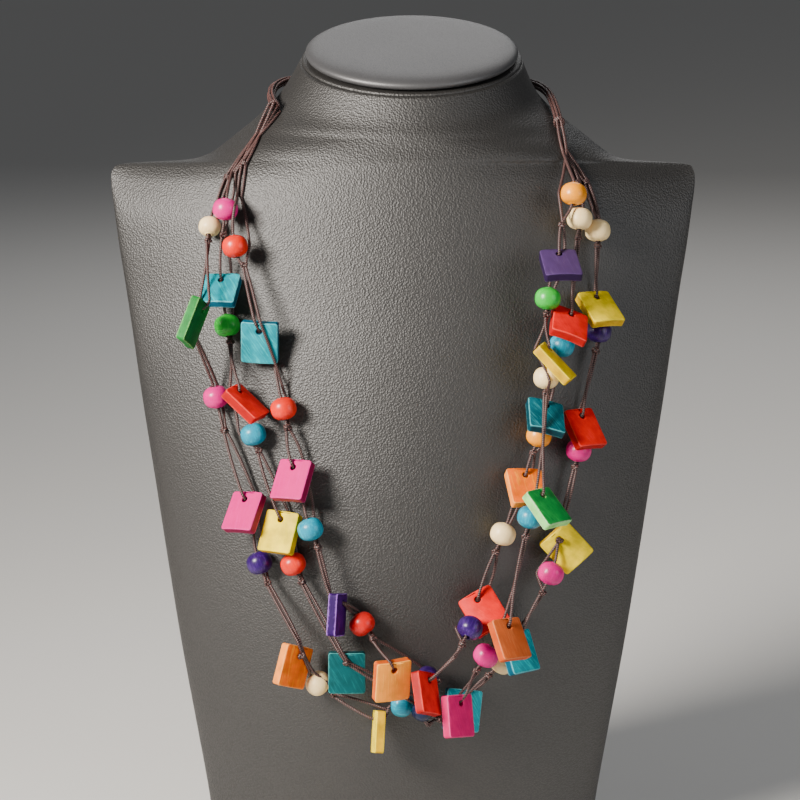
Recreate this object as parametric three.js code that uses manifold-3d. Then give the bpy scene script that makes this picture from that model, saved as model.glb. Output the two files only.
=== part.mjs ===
// A beaded necklace on a plain neck bust. Three strands of doubled waxed cord carry round wooden
// beads and flat dyed tiles by turns. They are laid over the chest of a leatherette-covered display
// bust and gathered on its neck. Millimetres, +Z up. The origin is the middle of the bust's base,
// the front of the bust faces -Y, and +X is the viewer's right.

import * as THREE from 'three';
import { mergeVertices } from 'three/addons/utils/BufferGeometryUtils.js';
import Module from 'manifold-3d';

const wasm = await Module();
wasm.setup();

// ---- Driving dimensions -----------------------------------------------------------------------

const BUST_SIDES = 44;
const NECK_AXIS_Y = 18;            // depth of the neck's axis, about which the upper levels lean
const CAP_LEVEL = 325.2;           // height of the neck's cut top on its axis
const CAP_SEAM = 0.3;
const CAP_SIDES = 36;

const BEAD_RADIUS = 5.1;
const BEAD_LENGTH = 8.8;
const BEAD_BORE = 1.5;
const BEAD_SIDES = 10;

const TILE_LENGTH = 16.5;
const TILE_WIDTH = 14.5;
const TILE_THICKNESS = 3.6;
const TILE_BOW = 45;               // radius of the slight bow across a tile's width
const TILE_BOW_STEPS = 4;
const TILE_HOLE = 1.5;
const TILE_HOLE_INSET = 3.4;       // from the upper edge to the middle of the hole
const HOLE_SIDES = 8;

const THREAD_RADIUS = 0.8;         // the two cords of a strand, taken together
const THREAD_SIDES = 6;
const BUNDLE_RADIUS = 1.9;         // all six cords at the nape
const BUNDLE_SIDES = 8;
const WRAP_RADIUS = 2.2;
const WRAP_LENGTH = 3;
const NECK_REST = 4.5;             // from the middle of the bundle level across to the sloping neck
const KNOT_RADIUS = 3.6;
const KNOT_LENGTH = 9;

const JOINT_GAP = 0.3;             // between pieces that meet
const BEAD_REST = 1.4;             // a bead stands off what is under it by the cord beside it
const TILE_REST = 2.6;             // a tile stands off by the cords that run behind it
const THREAD_CLEAR = 1.35;         // from the thread's middle to what it passes
const THREAD_STEP = 2;             // spacing of the points at which a run of thread is lifted clear

const COLOURS = {
  cream: 0xf0dcb4,
  pink: 0xe63296,
  magenta: 0xd63c78,
  rose: 0xff78be,
  coral: 0xeb503c,
  red: 0xd71e1e,
  orange: 0xfaa528,
  tangerine: 0xe1781e,
  peach: 0xfab46e,
  copper: 0xc86e3c,
  yellow: 0xf5dc1e,
  green: 0x46be50,
  forest: 0x2d9650,
  teal: 0x28a5b9,
  deep_teal: 0x006e73,
  violet: 0x4b2382,
  purple: 0x6e2896,
  lilac: 0x8264a5,
  navy: 0x1e325a,
  cord: 0x6a4a4a,
  leatherette: 0x3a3a3c,
};

const table = (columns, rows) => rows.map(
  (row) => Object.fromEntries(columns.map((name, i) => [name, row[i]])),
);

// Levels of the bust's body from the base up. half: half of its width. front, back: depth of the
// middle of the front and of the back. frontSweep, backSweep: how far each falls away towards the
// sides. square: 2 for an oval section, 5 for a slab with rounded side walls. lean: degrees that
// the level tips forward, as the cap does, or back, as the shoulders do. shift: how far the neck
// stands to one side.
const BUST_LEVELS = table(
  ['z', 'half', 'front', 'back', 'frontSweep', 'backSweep', 'square', 'lean', 'shift'],
  [
    [0, 78, -52, 45, 30, 40, 5, 0, 0],
    [25, 81, -57, 46, 32, 41, 5, 0, 0],
    [55, 85.5, -63, 47, 34, 43, 5, 0, 0],
    [90, 91, -68, 48, 36, 44, 5, 0, 0],
    [125, 96, -70, 49, 38, 45, 5, 0, 0],
    [160, 101, -69, 50, 40, 46, 5, 0, 0],
    [190, 105.5, -65, 50, 40, 46, 5, 0, 0],
    [215, 109, -60, 50, 40, 46, 5, 0, 0],
    [235, 112, -54.5, 50, 40, 46, 5, 0, 0],
    [250, 114.5, -49.9, 50, 38.5, 46, 4.7, -2, 0],
    [264, 116.5, -45.5, 50, 37.8, 46, 4.5, -4, 0],
    [274, 118, -42, 50, 41.2, 46, 3.9, -6, 0],
    [279.5, 117.5, -39.9, 50, 43.1, 45, 2.9, -7, 0],
    [282, 113, -39.1, 51, 41.8, 42, 2.7, -7, 0.5],
    [283.5, 90, -38.4, 52, 25.6, 30, 3.3, -7, 2],
    [286, 81.5, -37.2, 53, 17.9, 18, 3.1, -6.5, 2.6],
    [290, 76, -35.6, 54.5, 11.5, 11, 2.6, -5, 2.8],
    [295.5, 69.5, -33.9, 56.5, 5, 5, 2.1, -2.5, 2.8],
    [302, 61.5, -32.6, 59, 0, 0, 2, 2, 2.6],
    [311, 52.2, -30.2, 61.5, 0, 0, 2, 7.5, 2.5],
    [CAP_LEVEL, 44.3, -26, 62, 0, 0, 2, 13.5, 3.6],
  ],
);

// The pieces of each half strand, from the neck to the middle of the chest. x, z: where a bead's
// middle or the middle of a tile's face stands, seen from the front. A tile then turns by swing
// (its face towards +X), tip (its upper edge away from the viewer) and lean (its upper edge towards
// +X), in degrees. lay is given where a piece goes on sooner or later than the others of its strand.
// rank: the half strands leave the wrap one in front of another, -1 the foremost. meet: where the
// half strand joins the other half.
const HALF_STRANDS = {
  outer_left: {
    rank: 1,
    via: [[-58, 297], [-69.5, 282], [-73, 272]],
    meet: [10, -76, 72],
    pieces: [
      { bead: 'cream', x: -76, z: 264 },
      { tile: 'forest', x: -79, z: 230.5, swing: 70, tip: -13, lean: 27, length: 18 },
      { bead: 'pink', x: -73.5, z: 198.5 },
      { tile: 'rose', x: -63.5, z: 156.5, swing: -40, tip: 38, lean: -8 },
      { bead: 'violet', x: -56.5, z: 134.5 },
      { tile: 'tangerine', x: -41.5, z: 96, swing: 45, tip: 0, lean: 20 },
      { bead: 'cream', x: -33.5, z: 87 },
      { tile: 'yellow', x: -12, z: 70, swing: -85, tip: 5, lean: -17 },
      { bead: 'teal', x: -0.5, z: 79.5 },
    ],
  },
  outer_right: {
    rank: 1,
    via: [[64, 292], [72.5, 280], [76, 270]],
    meet: [10, -76, 72],
    pieces: [
      { bead: 'cream', x: 76.5, z: 262.5 },
      { tile: 'yellow', x: 78, z: 234.5, swing: 33, tip: 55, lean: 4 },
      { bead: 'violet', x: 77, z: 223.5 },
      { tile: 'red', x: 72, z: 188.5, swing: 42, tip: 40, lean: 5 },
      { bead: 'pink', x: 69, z: 178 },
      { tile: 'yellow', x: 64.5, z: 140.5, swing: 5, tip: 2, lean: -42, fromBehind: true },
      { bead: 'pink', x: 58, z: 131.5, lay: 2 },
      { tile: 'teal', x: 47, z: 101.5, swing: 43, tip: 26, lean: 2 },
      { bead: 'cream', x: 39, z: 95.5 },
      { tile: 'teal', x: 24, z: 77, swing: 17, tip: 13, lean: 10 },
    ],
  },
  middle_left: {
    rank: 0,
    via: [[-58, 297], [-67, 284]],
    meet: [17, -80, 74],
    pieces: [
      { bead: 'pink', x: -69.5, z: 271.5 },
      { tile: 'teal', x: -72, z: 242, swing: -17, tip: 52, lean: -4, length: 15, lay: -1 },
      { bead: 'green', x: -69, z: 226.5 },
      { tile: 'red', x: -60, z: 200, swing: 70, tip: 50, lean: 0 },
      { bead: 'teal', x: -58.5, z: 185.5 },
      { tile: 'yellow', x: -49, z: 149.5, swing: -28, tip: 29, lean: 0 },
      { bead: 'coral', x: -43, z: 135.5 },
      { tile: 'deep_teal', x: -22, z: 94, swing: 0, tip: 0, lean: 0 },
      { bead: 'navy', x: 8, z: 80 },
    ],
  },
  inner_left: {
    rank: -1,
    via: [[-58, 297], [-63, 287], [-64.5, 275]],
    meet: [20, -92, 105],
    pieces: [
      { bead: 'coral', x: -65.5, z: 258 },
      { tile: 'teal', x: -56, z: 221.5, swing: -8, tip: -8, lean: 2 },
      { bead: 'coral', x: -46.5, z: 196.5 },
      { tile: 'rose', x: -44, z: 171, swing: -34, tip: 35, lean: -5 },
      { bead: 'teal', x: -36, z: 151 },
      { tile: 'purple', x: -23.5, z: 118, swing: 75, tip: 0, lean: 14, fromBehind: true },
      { bead: 'red', x: -16, z: 113 },
      { tile: 'peach', x: -3.5, z: 93.5, swing: 23, tip: -8, lean: 0 },
      { bead: 'violet', x: 9.5, z: 90.5 },
      { tile: 'red', x: 11, z: 90.5, swing: 66, tip: 20, lean: 22 },
    ],
  },
  inner_right: {
    rank: 0,
    via: [[64, 292], [69, 280]],
    meet: [20, -92, 105],
    pieces: [
      { bead: 'cream', x: 69, z: 268 },
      { tile: 'red', x: 65, z: 231, swing: 41, tip: 56, lean: 41 },
      { bead: 'teal', x: 62, z: 219.5 },
      { tile: 'teal', x: 56, z: 195.5, swing: 33, tip: 56, lean: 27 },
      { bead: 'orange', x: 53, z: 185.5 },
      { tile: 'tangerine', x: 48.5, z: 168, swing: 21, tip: 49, lean: 7 },
      { bead: 'cream', x: 39, z: 148 },
      { tile: 'red', x: 31.5, z: 119.5, swing: -5, tip: 30, lean: -32, bow: 16, fromBehind: true },
      { bead: 'violet', x: 26, z: 114.5, lay: 2 },
    ],
  },
  middle_right: {
    rank: -1,
    via: [[64, 292]],
    meet: [17, -80, 74],
    pieces: [
      { bead: 'orange', x: 66.5, z: 278 },
      { tile: 'lilac', x: 61, z: 254.5, swing: 9, tip: 64, lean: 1 },
      { bead: 'green', x: 56, z: 239.5 },
      { tile: 'yellow', x: 60.5, z: 217, swing: 82, tip: 45, lean: 6, length: 18, bow: 28 },
      { bead: 'cream', x: 55.5, z: 209 },
      { tile: 'forest', x: 56.5, z: 163.5, swing: 52, tip: 47, lean: 4 },
      { bead: 'teal', x: 49, z: 157.5 },
      { tile: 'copper', x: 42.5, z: 112, swing: 45, tip: 33, lean: 7 },
      { bead: 'pink', x: 32.5, z: 100.5 },
      { tile: 'magenta', x: 23, z: 80.5, swing: 50, tip: 15, lean: 11 },
    ],
  },
};

// ---- Shared helpers ---------------------------------------------------------------------------

const radians = THREE.MathUtils.degToRad;
const necklace = new THREE.Group();

function addMesh(name, geometry, colour, roughness = 0.45) {
  const material = new THREE.MeshStandardMaterial({ color: COLOURS[colour], roughness, metalness: 0 });
  const mesh = new THREE.Mesh(geometry, material);
  mesh.name = name;
  necklace.add(mesh);
  return mesh;
}

function toSolid(geometry) {
  const bare = geometry.clone();
  bare.deleteAttribute('normal');
  bare.deleteAttribute('uv');
  const merged = mergeVertices(bare, 1e-4);
  return new wasm.Manifold(new wasm.Mesh({
    numProp: 3,
    vertProperties: new Float32Array(merged.attributes.position.array),
    triVerts: new Uint32Array(merged.index.array),
  }));
}

function toGeometry(solid) {
  const mesh = solid.getMesh();
  const geometry = new THREE.BufferGeometry();
  geometry.setAttribute('position', new THREE.BufferAttribute(mesh.vertProperties, 3));
  geometry.setIndex(new THREE.BufferAttribute(mesh.triVerts, 1));
  geometry.computeVertexNormals();
  return geometry;
}

// ---- Bust: body and cushioned cap -------------------------------------------------------------

// A point of a level's outline. Angle 0 is the +X side, a quarter turn on is the back.
function bustPoint(level, angle) {
  const across = Math.cos(angle);
  const bulge = Math.max(0, 1 - Math.abs(across) ** level.square) ** (1 / level.square);
  const front = level.front + level.frontSweep * across ** 2;
  const back = level.back - level.backSweep * across ** 2;
  const y = (front + back) / 2 + Math.sign(Math.sin(angle)) * bulge * (back - front) / 2;
  return leaned(level, level.shift + level.half * across, y);
}

function leaned(level, x, y) {
  const reach = y - NECK_AXIS_Y;
  const lean = radians(level.lean);
  return new THREE.Vector3(x, NECK_AXIS_Y + reach * Math.cos(lean), level.z + reach * Math.sin(lean));
}

function bustBody() {
  const top = BUST_LEVELS.length - 1;
  const geometry = new THREE.CylinderGeometry(1, 1, 1, BUST_SIDES, top);
  const positions = geometry.attributes.position;
  const vertex = new THREE.Vector3();
  for (let i = 0; i < positions.count; i += 1) {
    vertex.fromBufferAttribute(positions, i);
    const level = BUST_LEVELS[Math.round((vertex.y + 0.5) * top)];
    const onAxis = Math.hypot(vertex.x, vertex.z) < 0.5;
    const point = onAxis
      ? leaned(level, level.shift, (level.front + level.back) / 2)
      : bustPoint(level, Math.atan2(-vertex.z, vertex.x));
    positions.setXYZ(i, point.x, point.y, point.z);
  }
  geometry.computeVertexNormals();
  return geometry;
}

// A padded disc with a soft edge, closed on the neck's cut top.
function neckCap() {
  const profile = [
    [0, 0], [41.8, 0], [43.2, 1.4], [43, 2.8], [41.2, 4.2], [36, 4.9], [0, 5.4],
  ].map(([radius, height]) => new THREE.Vector2(radius, height));
  return new THREE.LatheGeometry(profile, CAP_SIDES).rotateX(Math.PI / 2);
}

const body = addMesh('bust_body', bustBody(), 'leatherette', 0.6);
const capLevel = BUST_LEVELS.at(-1);
const cap = addMesh('neck_cap', neckCap(), 'leatherette', 0.6);
cap.rotation.x = radians(capLevel.lean);
cap.position.copy(leaned({ ...capLevel, z: capLevel.z + CAP_SEAM }, capLevel.shift, NECK_AXIS_Y));

// ---- Coming to rest ---------------------------------------------------------------------------

// The meshes in place so far, from the bust forward. What comes later is laid in front of them.
const laid = [body];
const probe = new THREE.Raycaster();
const INTO_THE_BUST = new THREE.Vector3(0, 1, 0);
const PROBE_FROM = -300;

function frontDepth(x, z, meshes = laid) {
  probe.set(new THREE.Vector3(x, PROBE_FROM, z), INTO_THE_BUST);
  const hits = probe.intersectObjects(meshes, false);
  return hits.length > 0 ? hits[0].point.y : Infinity;
}

// The depth at which a piece whose surface has these points, measured from its origin, just rests.
function restDepth(points, x, z, gap) {
  const depths = points.map((point) => frontDepth(x + point.x, z + point.z) - point.y);
  return Math.min(...depths) - gap;
}

function layDown(mesh, strand = null) {
  mesh.updateMatrixWorld();
  mesh.userData.strand = strand;
  laid.push(mesh);
}

// ---- Beads ------------------------------------------------------------------------------------

// A barrel bead about Y with flat ends. A drilled one is a ring round its bore.
function beadGeometry(bore) {
  const half = BEAD_LENGTH / 2;
  const side = [
    [0.6 * BEAD_RADIUS, -half], [0.9 * BEAD_RADIUS, -0.56 * half], [BEAD_RADIUS, 0],
    [0.9 * BEAD_RADIUS, 0.56 * half], [0.6 * BEAD_RADIUS, half],
  ];
  const profile = [[bore, -half], ...side, [bore, half]];
  if (bore > 0) profile.push([bore, -half]);
  return new THREE.LatheGeometry(profile.map(([r, y]) => new THREE.Vector2(r, y)), BEAD_SIDES);
}

// Points of the rear half of a ball of a bead's radius.
const CONTACT_RINGS = 5;
const CONTACTS_PER_RING = 16;
const beadContacts = [new THREE.Vector3(0, BEAD_RADIUS, 0)];
for (let ring = 1; ring <= CONTACT_RINGS; ring += 1) {
  for (let i = 0; i < CONTACTS_PER_RING; i += 1) {
    const tip = (ring / CONTACT_RINGS) * (Math.PI / 2);
    const turn = (2 * Math.PI * i) / CONTACTS_PER_RING;
    const contact = new THREE.Vector3(0, BEAD_RADIUS, 0);
    beadContacts.push(contact.applyEuler(new THREE.Euler(tip, turn, 0, 'YXZ')));
  }
}

// ---- Tiles ------------------------------------------------------------------------------------

// A tile stands on XZ with the middle of its face at the origin and its hole near the upper edge.
// Its section is a band bowed forward about an upright axis.
function tileSize(piece) {
  const length = piece.length ?? TILE_LENGTH;
  return {
    length, width: TILE_WIDTH, bow: piece.bow ?? TILE_BOW, holeZ: length / 2 - TILE_HOLE_INSET,
  };
}

function bowDepth(size, x) {
  return size.bow - Math.sqrt(size.bow ** 2 - x ** 2);
}

function tileGeometry(size) {
  const front = [];
  for (let i = 0; i <= TILE_BOW_STEPS; i += 1) {
    const x = size.width * (i / TILE_BOW_STEPS - 0.5);
    front.push(new THREE.Vector2(x, bowDepth(size, x)));
  }
  const back = front.map((p) => new THREE.Vector2(p.x, p.y + TILE_THICKNESS)).reverse();
  const slab = new THREE.ExtrudeGeometry(
    new THREE.Shape([...front, ...back]),
    { depth: size.length, bevelEnabled: false },
  ).translate(0, 0, -size.length / 2);
  const drill = new THREE.CylinderGeometry(TILE_HOLE, TILE_HOLE, 4 * TILE_THICKNESS, HOLE_SIDES)
    .translate(0, 0, size.holeZ);
  return toGeometry(toSolid(slab).subtract(toSolid(drill)));
}

const CONTACT_STEPS = 12;

function tileContacts(size, rotation) {
  const points = [];
  for (let i = 0; i <= CONTACT_STEPS; i += 1) {
    for (let j = 0; j <= CONTACT_STEPS; j += 1) {
      const x = (i / CONTACT_STEPS - 0.5) * size.width;
      const z = (j / CONTACT_STEPS - 0.5) * size.length;
      for (const y of [0, TILE_THICKNESS]) {
        points.push(new THREE.Vector3(x, bowDepth(size, x) + y, z).applyEuler(rotation));
      }
    }
  }
  return points;
}

// ---- Thread -----------------------------------------------------------------------------------

// A route of straight runs, with a section of the tube at each of its points.
class Route extends THREE.Curve {
  constructor(points) {
    super();
    this.points = points;
  }

  getSpacedPoints() {
    return this.points;
  }

  getTangentAt(t) {
    const last = this.points.length - 1;
    const i = Math.round(t * last);
    const here = this.points[i];
    const arriving = here.clone().sub(this.points[Math.max(i - 1, 0)]).normalize();
    const leaving = this.points[Math.min(i + 1, last)].clone().sub(here).normalize();
    return arriving.add(leaving).normalize();
  }
}

function tube(points, radius, sides) {
  const section = new THREE.Shape();
  for (let i = 0; i < sides; i += 1) {
    const angle = (2 * Math.PI * i) / sides;
    section[i === 0 ? 'moveTo' : 'lineTo'](radius * Math.cos(angle), radius * Math.sin(angle));
  }
  const route = new Route(points);
  return new THREE.ExtrudeGeometry(section, { steps: points.length - 1, extrudePath: route });
}

// The depth at which a thread just rests on the bust and on the strands laid before its own.
function threadDepth(x, z, strand) {
  const under = laid.filter((mesh) => mesh.userData.strand !== strand);
  const depths = [frontDepth(x, z, under) - THREAD_CLEAR];
  for (let turn = 0; turn < 2 * Math.PI; turn += Math.PI / 4) {
    const beside = frontDepth(x + THREAD_CLEAR * Math.cos(turn), z + THREAD_CLEAR * Math.sin(turn), under);
    depths.push(beside - THREAD_CLEAR / 3);
  }
  return Math.min(...depths);
}

// Whether a thread pulled tight from a to c leaves b, so that b is no bend of it.
function slack(a, b, c) {
  return (a.y - b.y) * (c.t - a.t) <= (a.y - c.y) * (b.t - a.t) + 1e-6;
}

// The bends of a thread pulled tight from start to end over what it crosses.
function tautBends(start, end, strand) {
  const count = Math.max(1, Math.ceil(start.distanceTo(end) / THREAD_STEP));
  const bends = [];
  for (let i = 0; i <= count; i += 1) {
    const point = start.clone().lerp(end, i / count);
    point.t = i / count;
    if (i > 0 && i < count) point.y = Math.min(point.y, threadDepth(point.x, point.z, strand));
    while (bends.length > 1 && slack(bends.at(-2), bends.at(-1), point)) bends.pop();
    bends.push(point);
  }
  return bends.slice(1).map((bend) => new THREE.Vector3(bend.x, bend.y, bend.z));
}

function throughBead(piece) {
  const reach = BEAD_LENGTH / 2 + THREAD_RADIUS;
  return [-reach, reach].map((along) => piece.place.clone().addScaledVector(piece.axis, along));
}

// Into the hole from the front and away behind the tile, clear of its edges, or the other way
// round where the piece is threaded from behind.
function throughTile(piece, before, after) {
  const { size, mesh } = piece;
  const hole = new THREE.Vector3(0, 0, size.holeZ);
  const frontFace = -THREAD_CLEAR;
  const backFace = TILE_THICKNESS + bowDepth(size, size.width / 2) + THREAD_CLEAR;
  const outer = mesh.worldToLocal((piece.fromBehind ? after : before).clone());
  const inner = mesh.worldToLocal((piece.fromBehind ? before : after).clone());
  const edge = (target, depth) => {
    const run = new THREE.Vector3(target.x - hole.x, 0, target.z - hole.z).normalize();
    const toSide = (size.width / 2) / Math.max(Math.abs(run.x), 1e-6);
    const toEnd = (run.z > 0 ? size.length / 2 - hole.z : size.length / 2 + hole.z)
      / Math.max(Math.abs(run.z), 1e-6);
    return hole.clone().addScaledVector(run, Math.min(toSide, toEnd) + THREAD_CLEAR).setY(depth);
  };
  const points = [frontFace, TILE_THICKNESS / 2, backFace].map((depth) => hole.clone().setY(depth));
  if (outer.y > frontFace) points.unshift(edge(outer, frontFace));
  if (inner.y < backFace) points.push(edge(inner, backFace));
  if (piece.fromBehind) points.reverse();
  return points.map((point) => mesh.localToWorld(point));
}

// ---- Neck: gathered cords, wraps and nape knot ------------------------------------------------

function levelAt(z) {
  const upper = BUST_LEVELS.find((level) => level.z >= z);
  const lower = BUST_LEVELS[BUST_LEVELS.indexOf(upper) - 1];
  const share = (z - lower.z) / (upper.z - lower.z);
  const blended = {};
  for (const key of Object.keys(upper)) {
    blended[key] = THREE.MathUtils.lerp(lower[key], upper[key], share);
  }
  return blended;
}

// A point beside the neck at a height and angle, standing off by the given gap.
function besideNeck(z, degrees, gap) {
  const point = bustPoint(levelAt(z), radians(degrees));
  const outward = new THREE.Vector3(point.x, point.y - NECK_AXIS_Y, 0).normalize();
  return point.addScaledVector(outward, gap);
}

// Left wrap, round the back to the nape, and to the right wrap.
const NECK_ROUTE = table(['z', 'degrees'], [
  [310, 200], [311.5, 186], [312, 172], [311.5, 158], [310.5, 144], [309.5, 130], [309, 116],
  [309, 103], [309, 90], [309, 77], [309, 64], [309.5, 50], [310, 36], [310.5, 22], [310.5, 6],
  [308, -10], [302.5, -24],
]);
const neckRoute = NECK_ROUTE.map(({ z, degrees }) => besideNeck(z, degrees, NECK_REST));
const nape = NECK_ROUTE.findIndex(({ degrees }) => degrees === 90);

function shortened(points, atStart, atEnd) {
  const [first, second] = points;
  const [beforeLast, last] = points.slice(-2);
  return [
    first.clone().addScaledVector(second.clone().sub(first).normalize(), atStart),
    ...points.slice(1, -1),
    last.clone().addScaledVector(beforeLast.clone().sub(last).normalize(), atEnd),
  ];
}

function lieAlong(mesh, middle, direction) {
  mesh.position.copy(middle);
  mesh.quaternion.setFromUnitVectors(new THREE.Vector3(0, 1, 0), direction.clone().normalize());
  layDown(mesh);
}

const halfWrap = WRAP_LENGTH / 2 + JOINT_GAP;
const halfKnot = KNOT_LENGTH / 2 + JOINT_GAP;
const napeLeft = shortened(neckRoute.slice(0, nape + 1), halfWrap, halfKnot);
const napeRight = shortened(neckRoute.slice(nape), halfKnot, halfWrap);
layDown(addMesh('nape_cord_left', tube(napeLeft, BUNDLE_RADIUS, BUNDLE_SIDES), 'cord'));
layDown(addMesh('nape_cord_right', tube(napeRight, BUNDLE_RADIUS, BUNDLE_SIDES), 'cord'));

const knotProfile = [[0, -0.5], [0.7, -0.5], [1, -0.2], [1, 0.2], [0.7, 0.5], [0, 0.5]]
  .map(([r, y]) => new THREE.Vector2(r * KNOT_RADIUS, y * KNOT_LENGTH));
const knotRun = neckRoute[nape + 1].clone().sub(neckRoute[nape - 1]);
const knot = addMesh('nape_knot', new THREE.LatheGeometry(knotProfile, BUNDLE_SIDES), 'cord');
lieAlong(knot, neckRoute[nape], knotRun);

const wraps = {
  left: { middle: neckRoute[0], run: neckRoute[0].clone().sub(neckRoute[1]).normalize() },
  right: { middle: neckRoute.at(-1), run: neckRoute.at(-1).clone().sub(neckRoute.at(-2)).normalize() },
};
for (const [side, wrap] of Object.entries(wraps)) {
  const geometry = new THREE.CylinderGeometry(WRAP_RADIUS, WRAP_RADIUS, WRAP_LENGTH, BUNDLE_SIDES);
  lieAlong(addMesh(`wrap_${side}`, geometry, 'cord'), wrap.middle, wrap.run);
}

function wrapExit(strand) {
  const { middle, run } = wraps[strand.name.split('_')[1]];
  const across = new THREE.Vector3(0, 1, 0).addScaledVector(run, -run.y).normalize();
  return middle.clone()
    .addScaledVector(run, halfWrap + JOINT_GAP)
    .addScaledVector(across, strand.rank * (2 * THREAD_RADIUS + 2 * JOINT_GAP));
}

// ---- Strands ----------------------------------------------------------------------------------

function placeBead(piece, strand) {
  const y = restDepth(beadContacts, piece.x, piece.z, BEAD_REST);
  piece.place = new THREE.Vector3(piece.x, y, piece.z);
  piece.end = piece.place;
  const ball = new THREE.Mesh(new THREE.SphereGeometry(BEAD_RADIUS + JOINT_GAP, 16, 12));
  ball.position.copy(piece.place);
  layDown(ball, strand.name);
}

function placeTile(piece, strand) {
  piece.size = tileSize(piece);
  piece.mesh = addMesh(piece.name, tileGeometry(piece.size), piece.tile);
  const turn = new THREE.Euler(radians(-piece.tip), radians(piece.lean), radians(piece.swing), 'ZXY');
  const y = restDepth(tileContacts(piece.size, turn), piece.x, piece.z, TILE_REST);
  piece.mesh.rotation.copy(turn);
  piece.mesh.position.set(piece.x, y, piece.z);
  layDown(piece.mesh, strand.name);
  piece.end = piece.mesh.localToWorld(new THREE.Vector3(0, 0, piece.size.holeZ));
}

function placePiece(strand, piece) {
  const kind = piece.bead ? 'bead' : 'tile';
  const number = strand.pieces.filter((other) => kind in other).indexOf(piece) + 1;
  piece.name = `${kind}_${strand.name}_${number}`;
  if (piece.bead) placeBead(piece, strand);
  else placeTile(piece, strand);
}

function strandRoute(strand) {
  const start = wrapExit(strand);
  const via = strand.via.map(([x, z]) => new THREE.Vector3(x, threadDepth(x, z, strand.name), z));
  const end = new THREE.Vector3(...strand.meet);
  const stops = [via.at(-1), ...strand.pieces.map((piece) => piece.end), end];
  strand.pieces.forEach((piece, i) => {
    piece.axis = stops[i + 2].clone().sub(stops[i]).normalize();
  });
  const points = [start];
  via.forEach((point) => points.push(...tautBends(points.at(-1), point, strand.name)));
  strand.pieces.forEach((piece, i) => {
    const passing = piece.bead ? throughBead(piece) : throughTile(piece, points.at(-1), stops[i + 2]);
    points.push(...tautBends(points.at(-1), passing[0], strand.name), ...passing.slice(1));
  });
  points.push(end);
  return shortened(points, 0, THREAD_RADIUS + 2 * JOINT_GAP);
}

function beadMesh(piece, geometry) {
  const mesh = new THREE.Mesh(geometry);
  mesh.position.copy(piece.place);
  mesh.quaternion.setFromUnitVectors(new THREE.Vector3(0, 1, 0), piece.axis);
  mesh.updateMatrixWorld();
  return mesh;
}

// The inner strands have each bead as a piece of its own. On the others beads and thread are one.
function stringBeads(strand) {
  const thread = tube(strandRoute(strand), THREAD_RADIUS, THREAD_SIDES);
  const beads = strand.pieces.filter((piece) => piece.bead);
  if (strand.name.startsWith('inner')) {
    layDown(addMesh(`thread_${strand.name}`, thread, 'cord'), strand.name);
    for (const piece of beads) {
      const { position, quaternion } = beadMesh(piece);
      const mesh = addMesh(piece.name, beadGeometry(BEAD_BORE), piece.bead, 0.3);
      mesh.position.copy(position);
      mesh.quaternion.copy(quaternion);
    }
    return;
  }
  let joined = toSolid(thread);
  for (const piece of beads) {
    const bead = beadMesh(piece, beadGeometry(0));
    joined = joined.add(toSolid(bead.geometry.applyMatrix4(bead.matrixWorld)));
  }
  layDown(addMesh(`strand_${strand.name}`, toGeometry(joined), 'cord'), strand.name);
}

const strands = Object.entries(HALF_STRANDS).map(([name, strand]) => ({ name, ...strand }));
const layOf = (piece) => piece.lay ?? (piece.bead ? 0 : 1);

for (const strand of strands) {
  strand.pieces.filter((piece) => layOf(piece) < 0).forEach((piece) => placePiece(strand, piece));
}
for (const strand of strands) {
  const later = strand.pieces.filter((piece) => layOf(piece) >= 0);
  later.sort((a, b) => layOf(a) - layOf(b)).forEach((piece) => placePiece(strand, piece));
  stringBeads(strand);
}

export default necklace;
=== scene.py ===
import math
import random

import bpy
import bmesh
from mathutils import Matrix, Vector
from mathutils.bvhtree import BVHTree


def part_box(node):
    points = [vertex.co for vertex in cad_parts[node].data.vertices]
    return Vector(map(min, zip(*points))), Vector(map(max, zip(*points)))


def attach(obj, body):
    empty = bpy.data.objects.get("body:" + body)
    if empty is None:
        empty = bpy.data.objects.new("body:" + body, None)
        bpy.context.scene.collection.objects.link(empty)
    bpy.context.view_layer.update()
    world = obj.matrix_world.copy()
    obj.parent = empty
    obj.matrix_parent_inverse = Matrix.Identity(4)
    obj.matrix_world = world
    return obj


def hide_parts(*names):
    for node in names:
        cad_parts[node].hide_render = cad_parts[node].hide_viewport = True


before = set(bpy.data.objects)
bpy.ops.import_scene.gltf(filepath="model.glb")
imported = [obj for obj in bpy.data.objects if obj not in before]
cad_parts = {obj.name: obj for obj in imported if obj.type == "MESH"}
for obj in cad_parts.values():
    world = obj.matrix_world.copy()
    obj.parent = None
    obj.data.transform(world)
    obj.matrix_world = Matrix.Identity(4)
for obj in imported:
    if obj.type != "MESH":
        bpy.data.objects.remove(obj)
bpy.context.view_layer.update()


# ---- Camera, floor and light ---------------------------------------------------------------------
# The bust stands on a plain pale floor. The main lamp hangs in front of its right shoulder, a larger
# and weaker one opens the shadows from the other side, and a third lights the cap from behind.

LOOK_DOWN = math.radians(12)
LOOK_AT = Vector((-0.0012, -0.030, 0.193))
LOOK_FROM = 1.2

camera = bpy.data.objects.new("camera", bpy.data.cameras.new("camera"))
camera.data.lens = 135
camera.data.sensor_width = 36
camera.location = LOOK_AT + LOOK_FROM * Vector((0, -math.cos(LOOK_DOWN), math.sin(LOOK_DOWN)))
camera.rotation_euler = (math.radians(90) - LOOK_DOWN, 0, 0)
bpy.context.scene.collection.objects.link(camera)
bpy.context.scene.camera = camera

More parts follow.
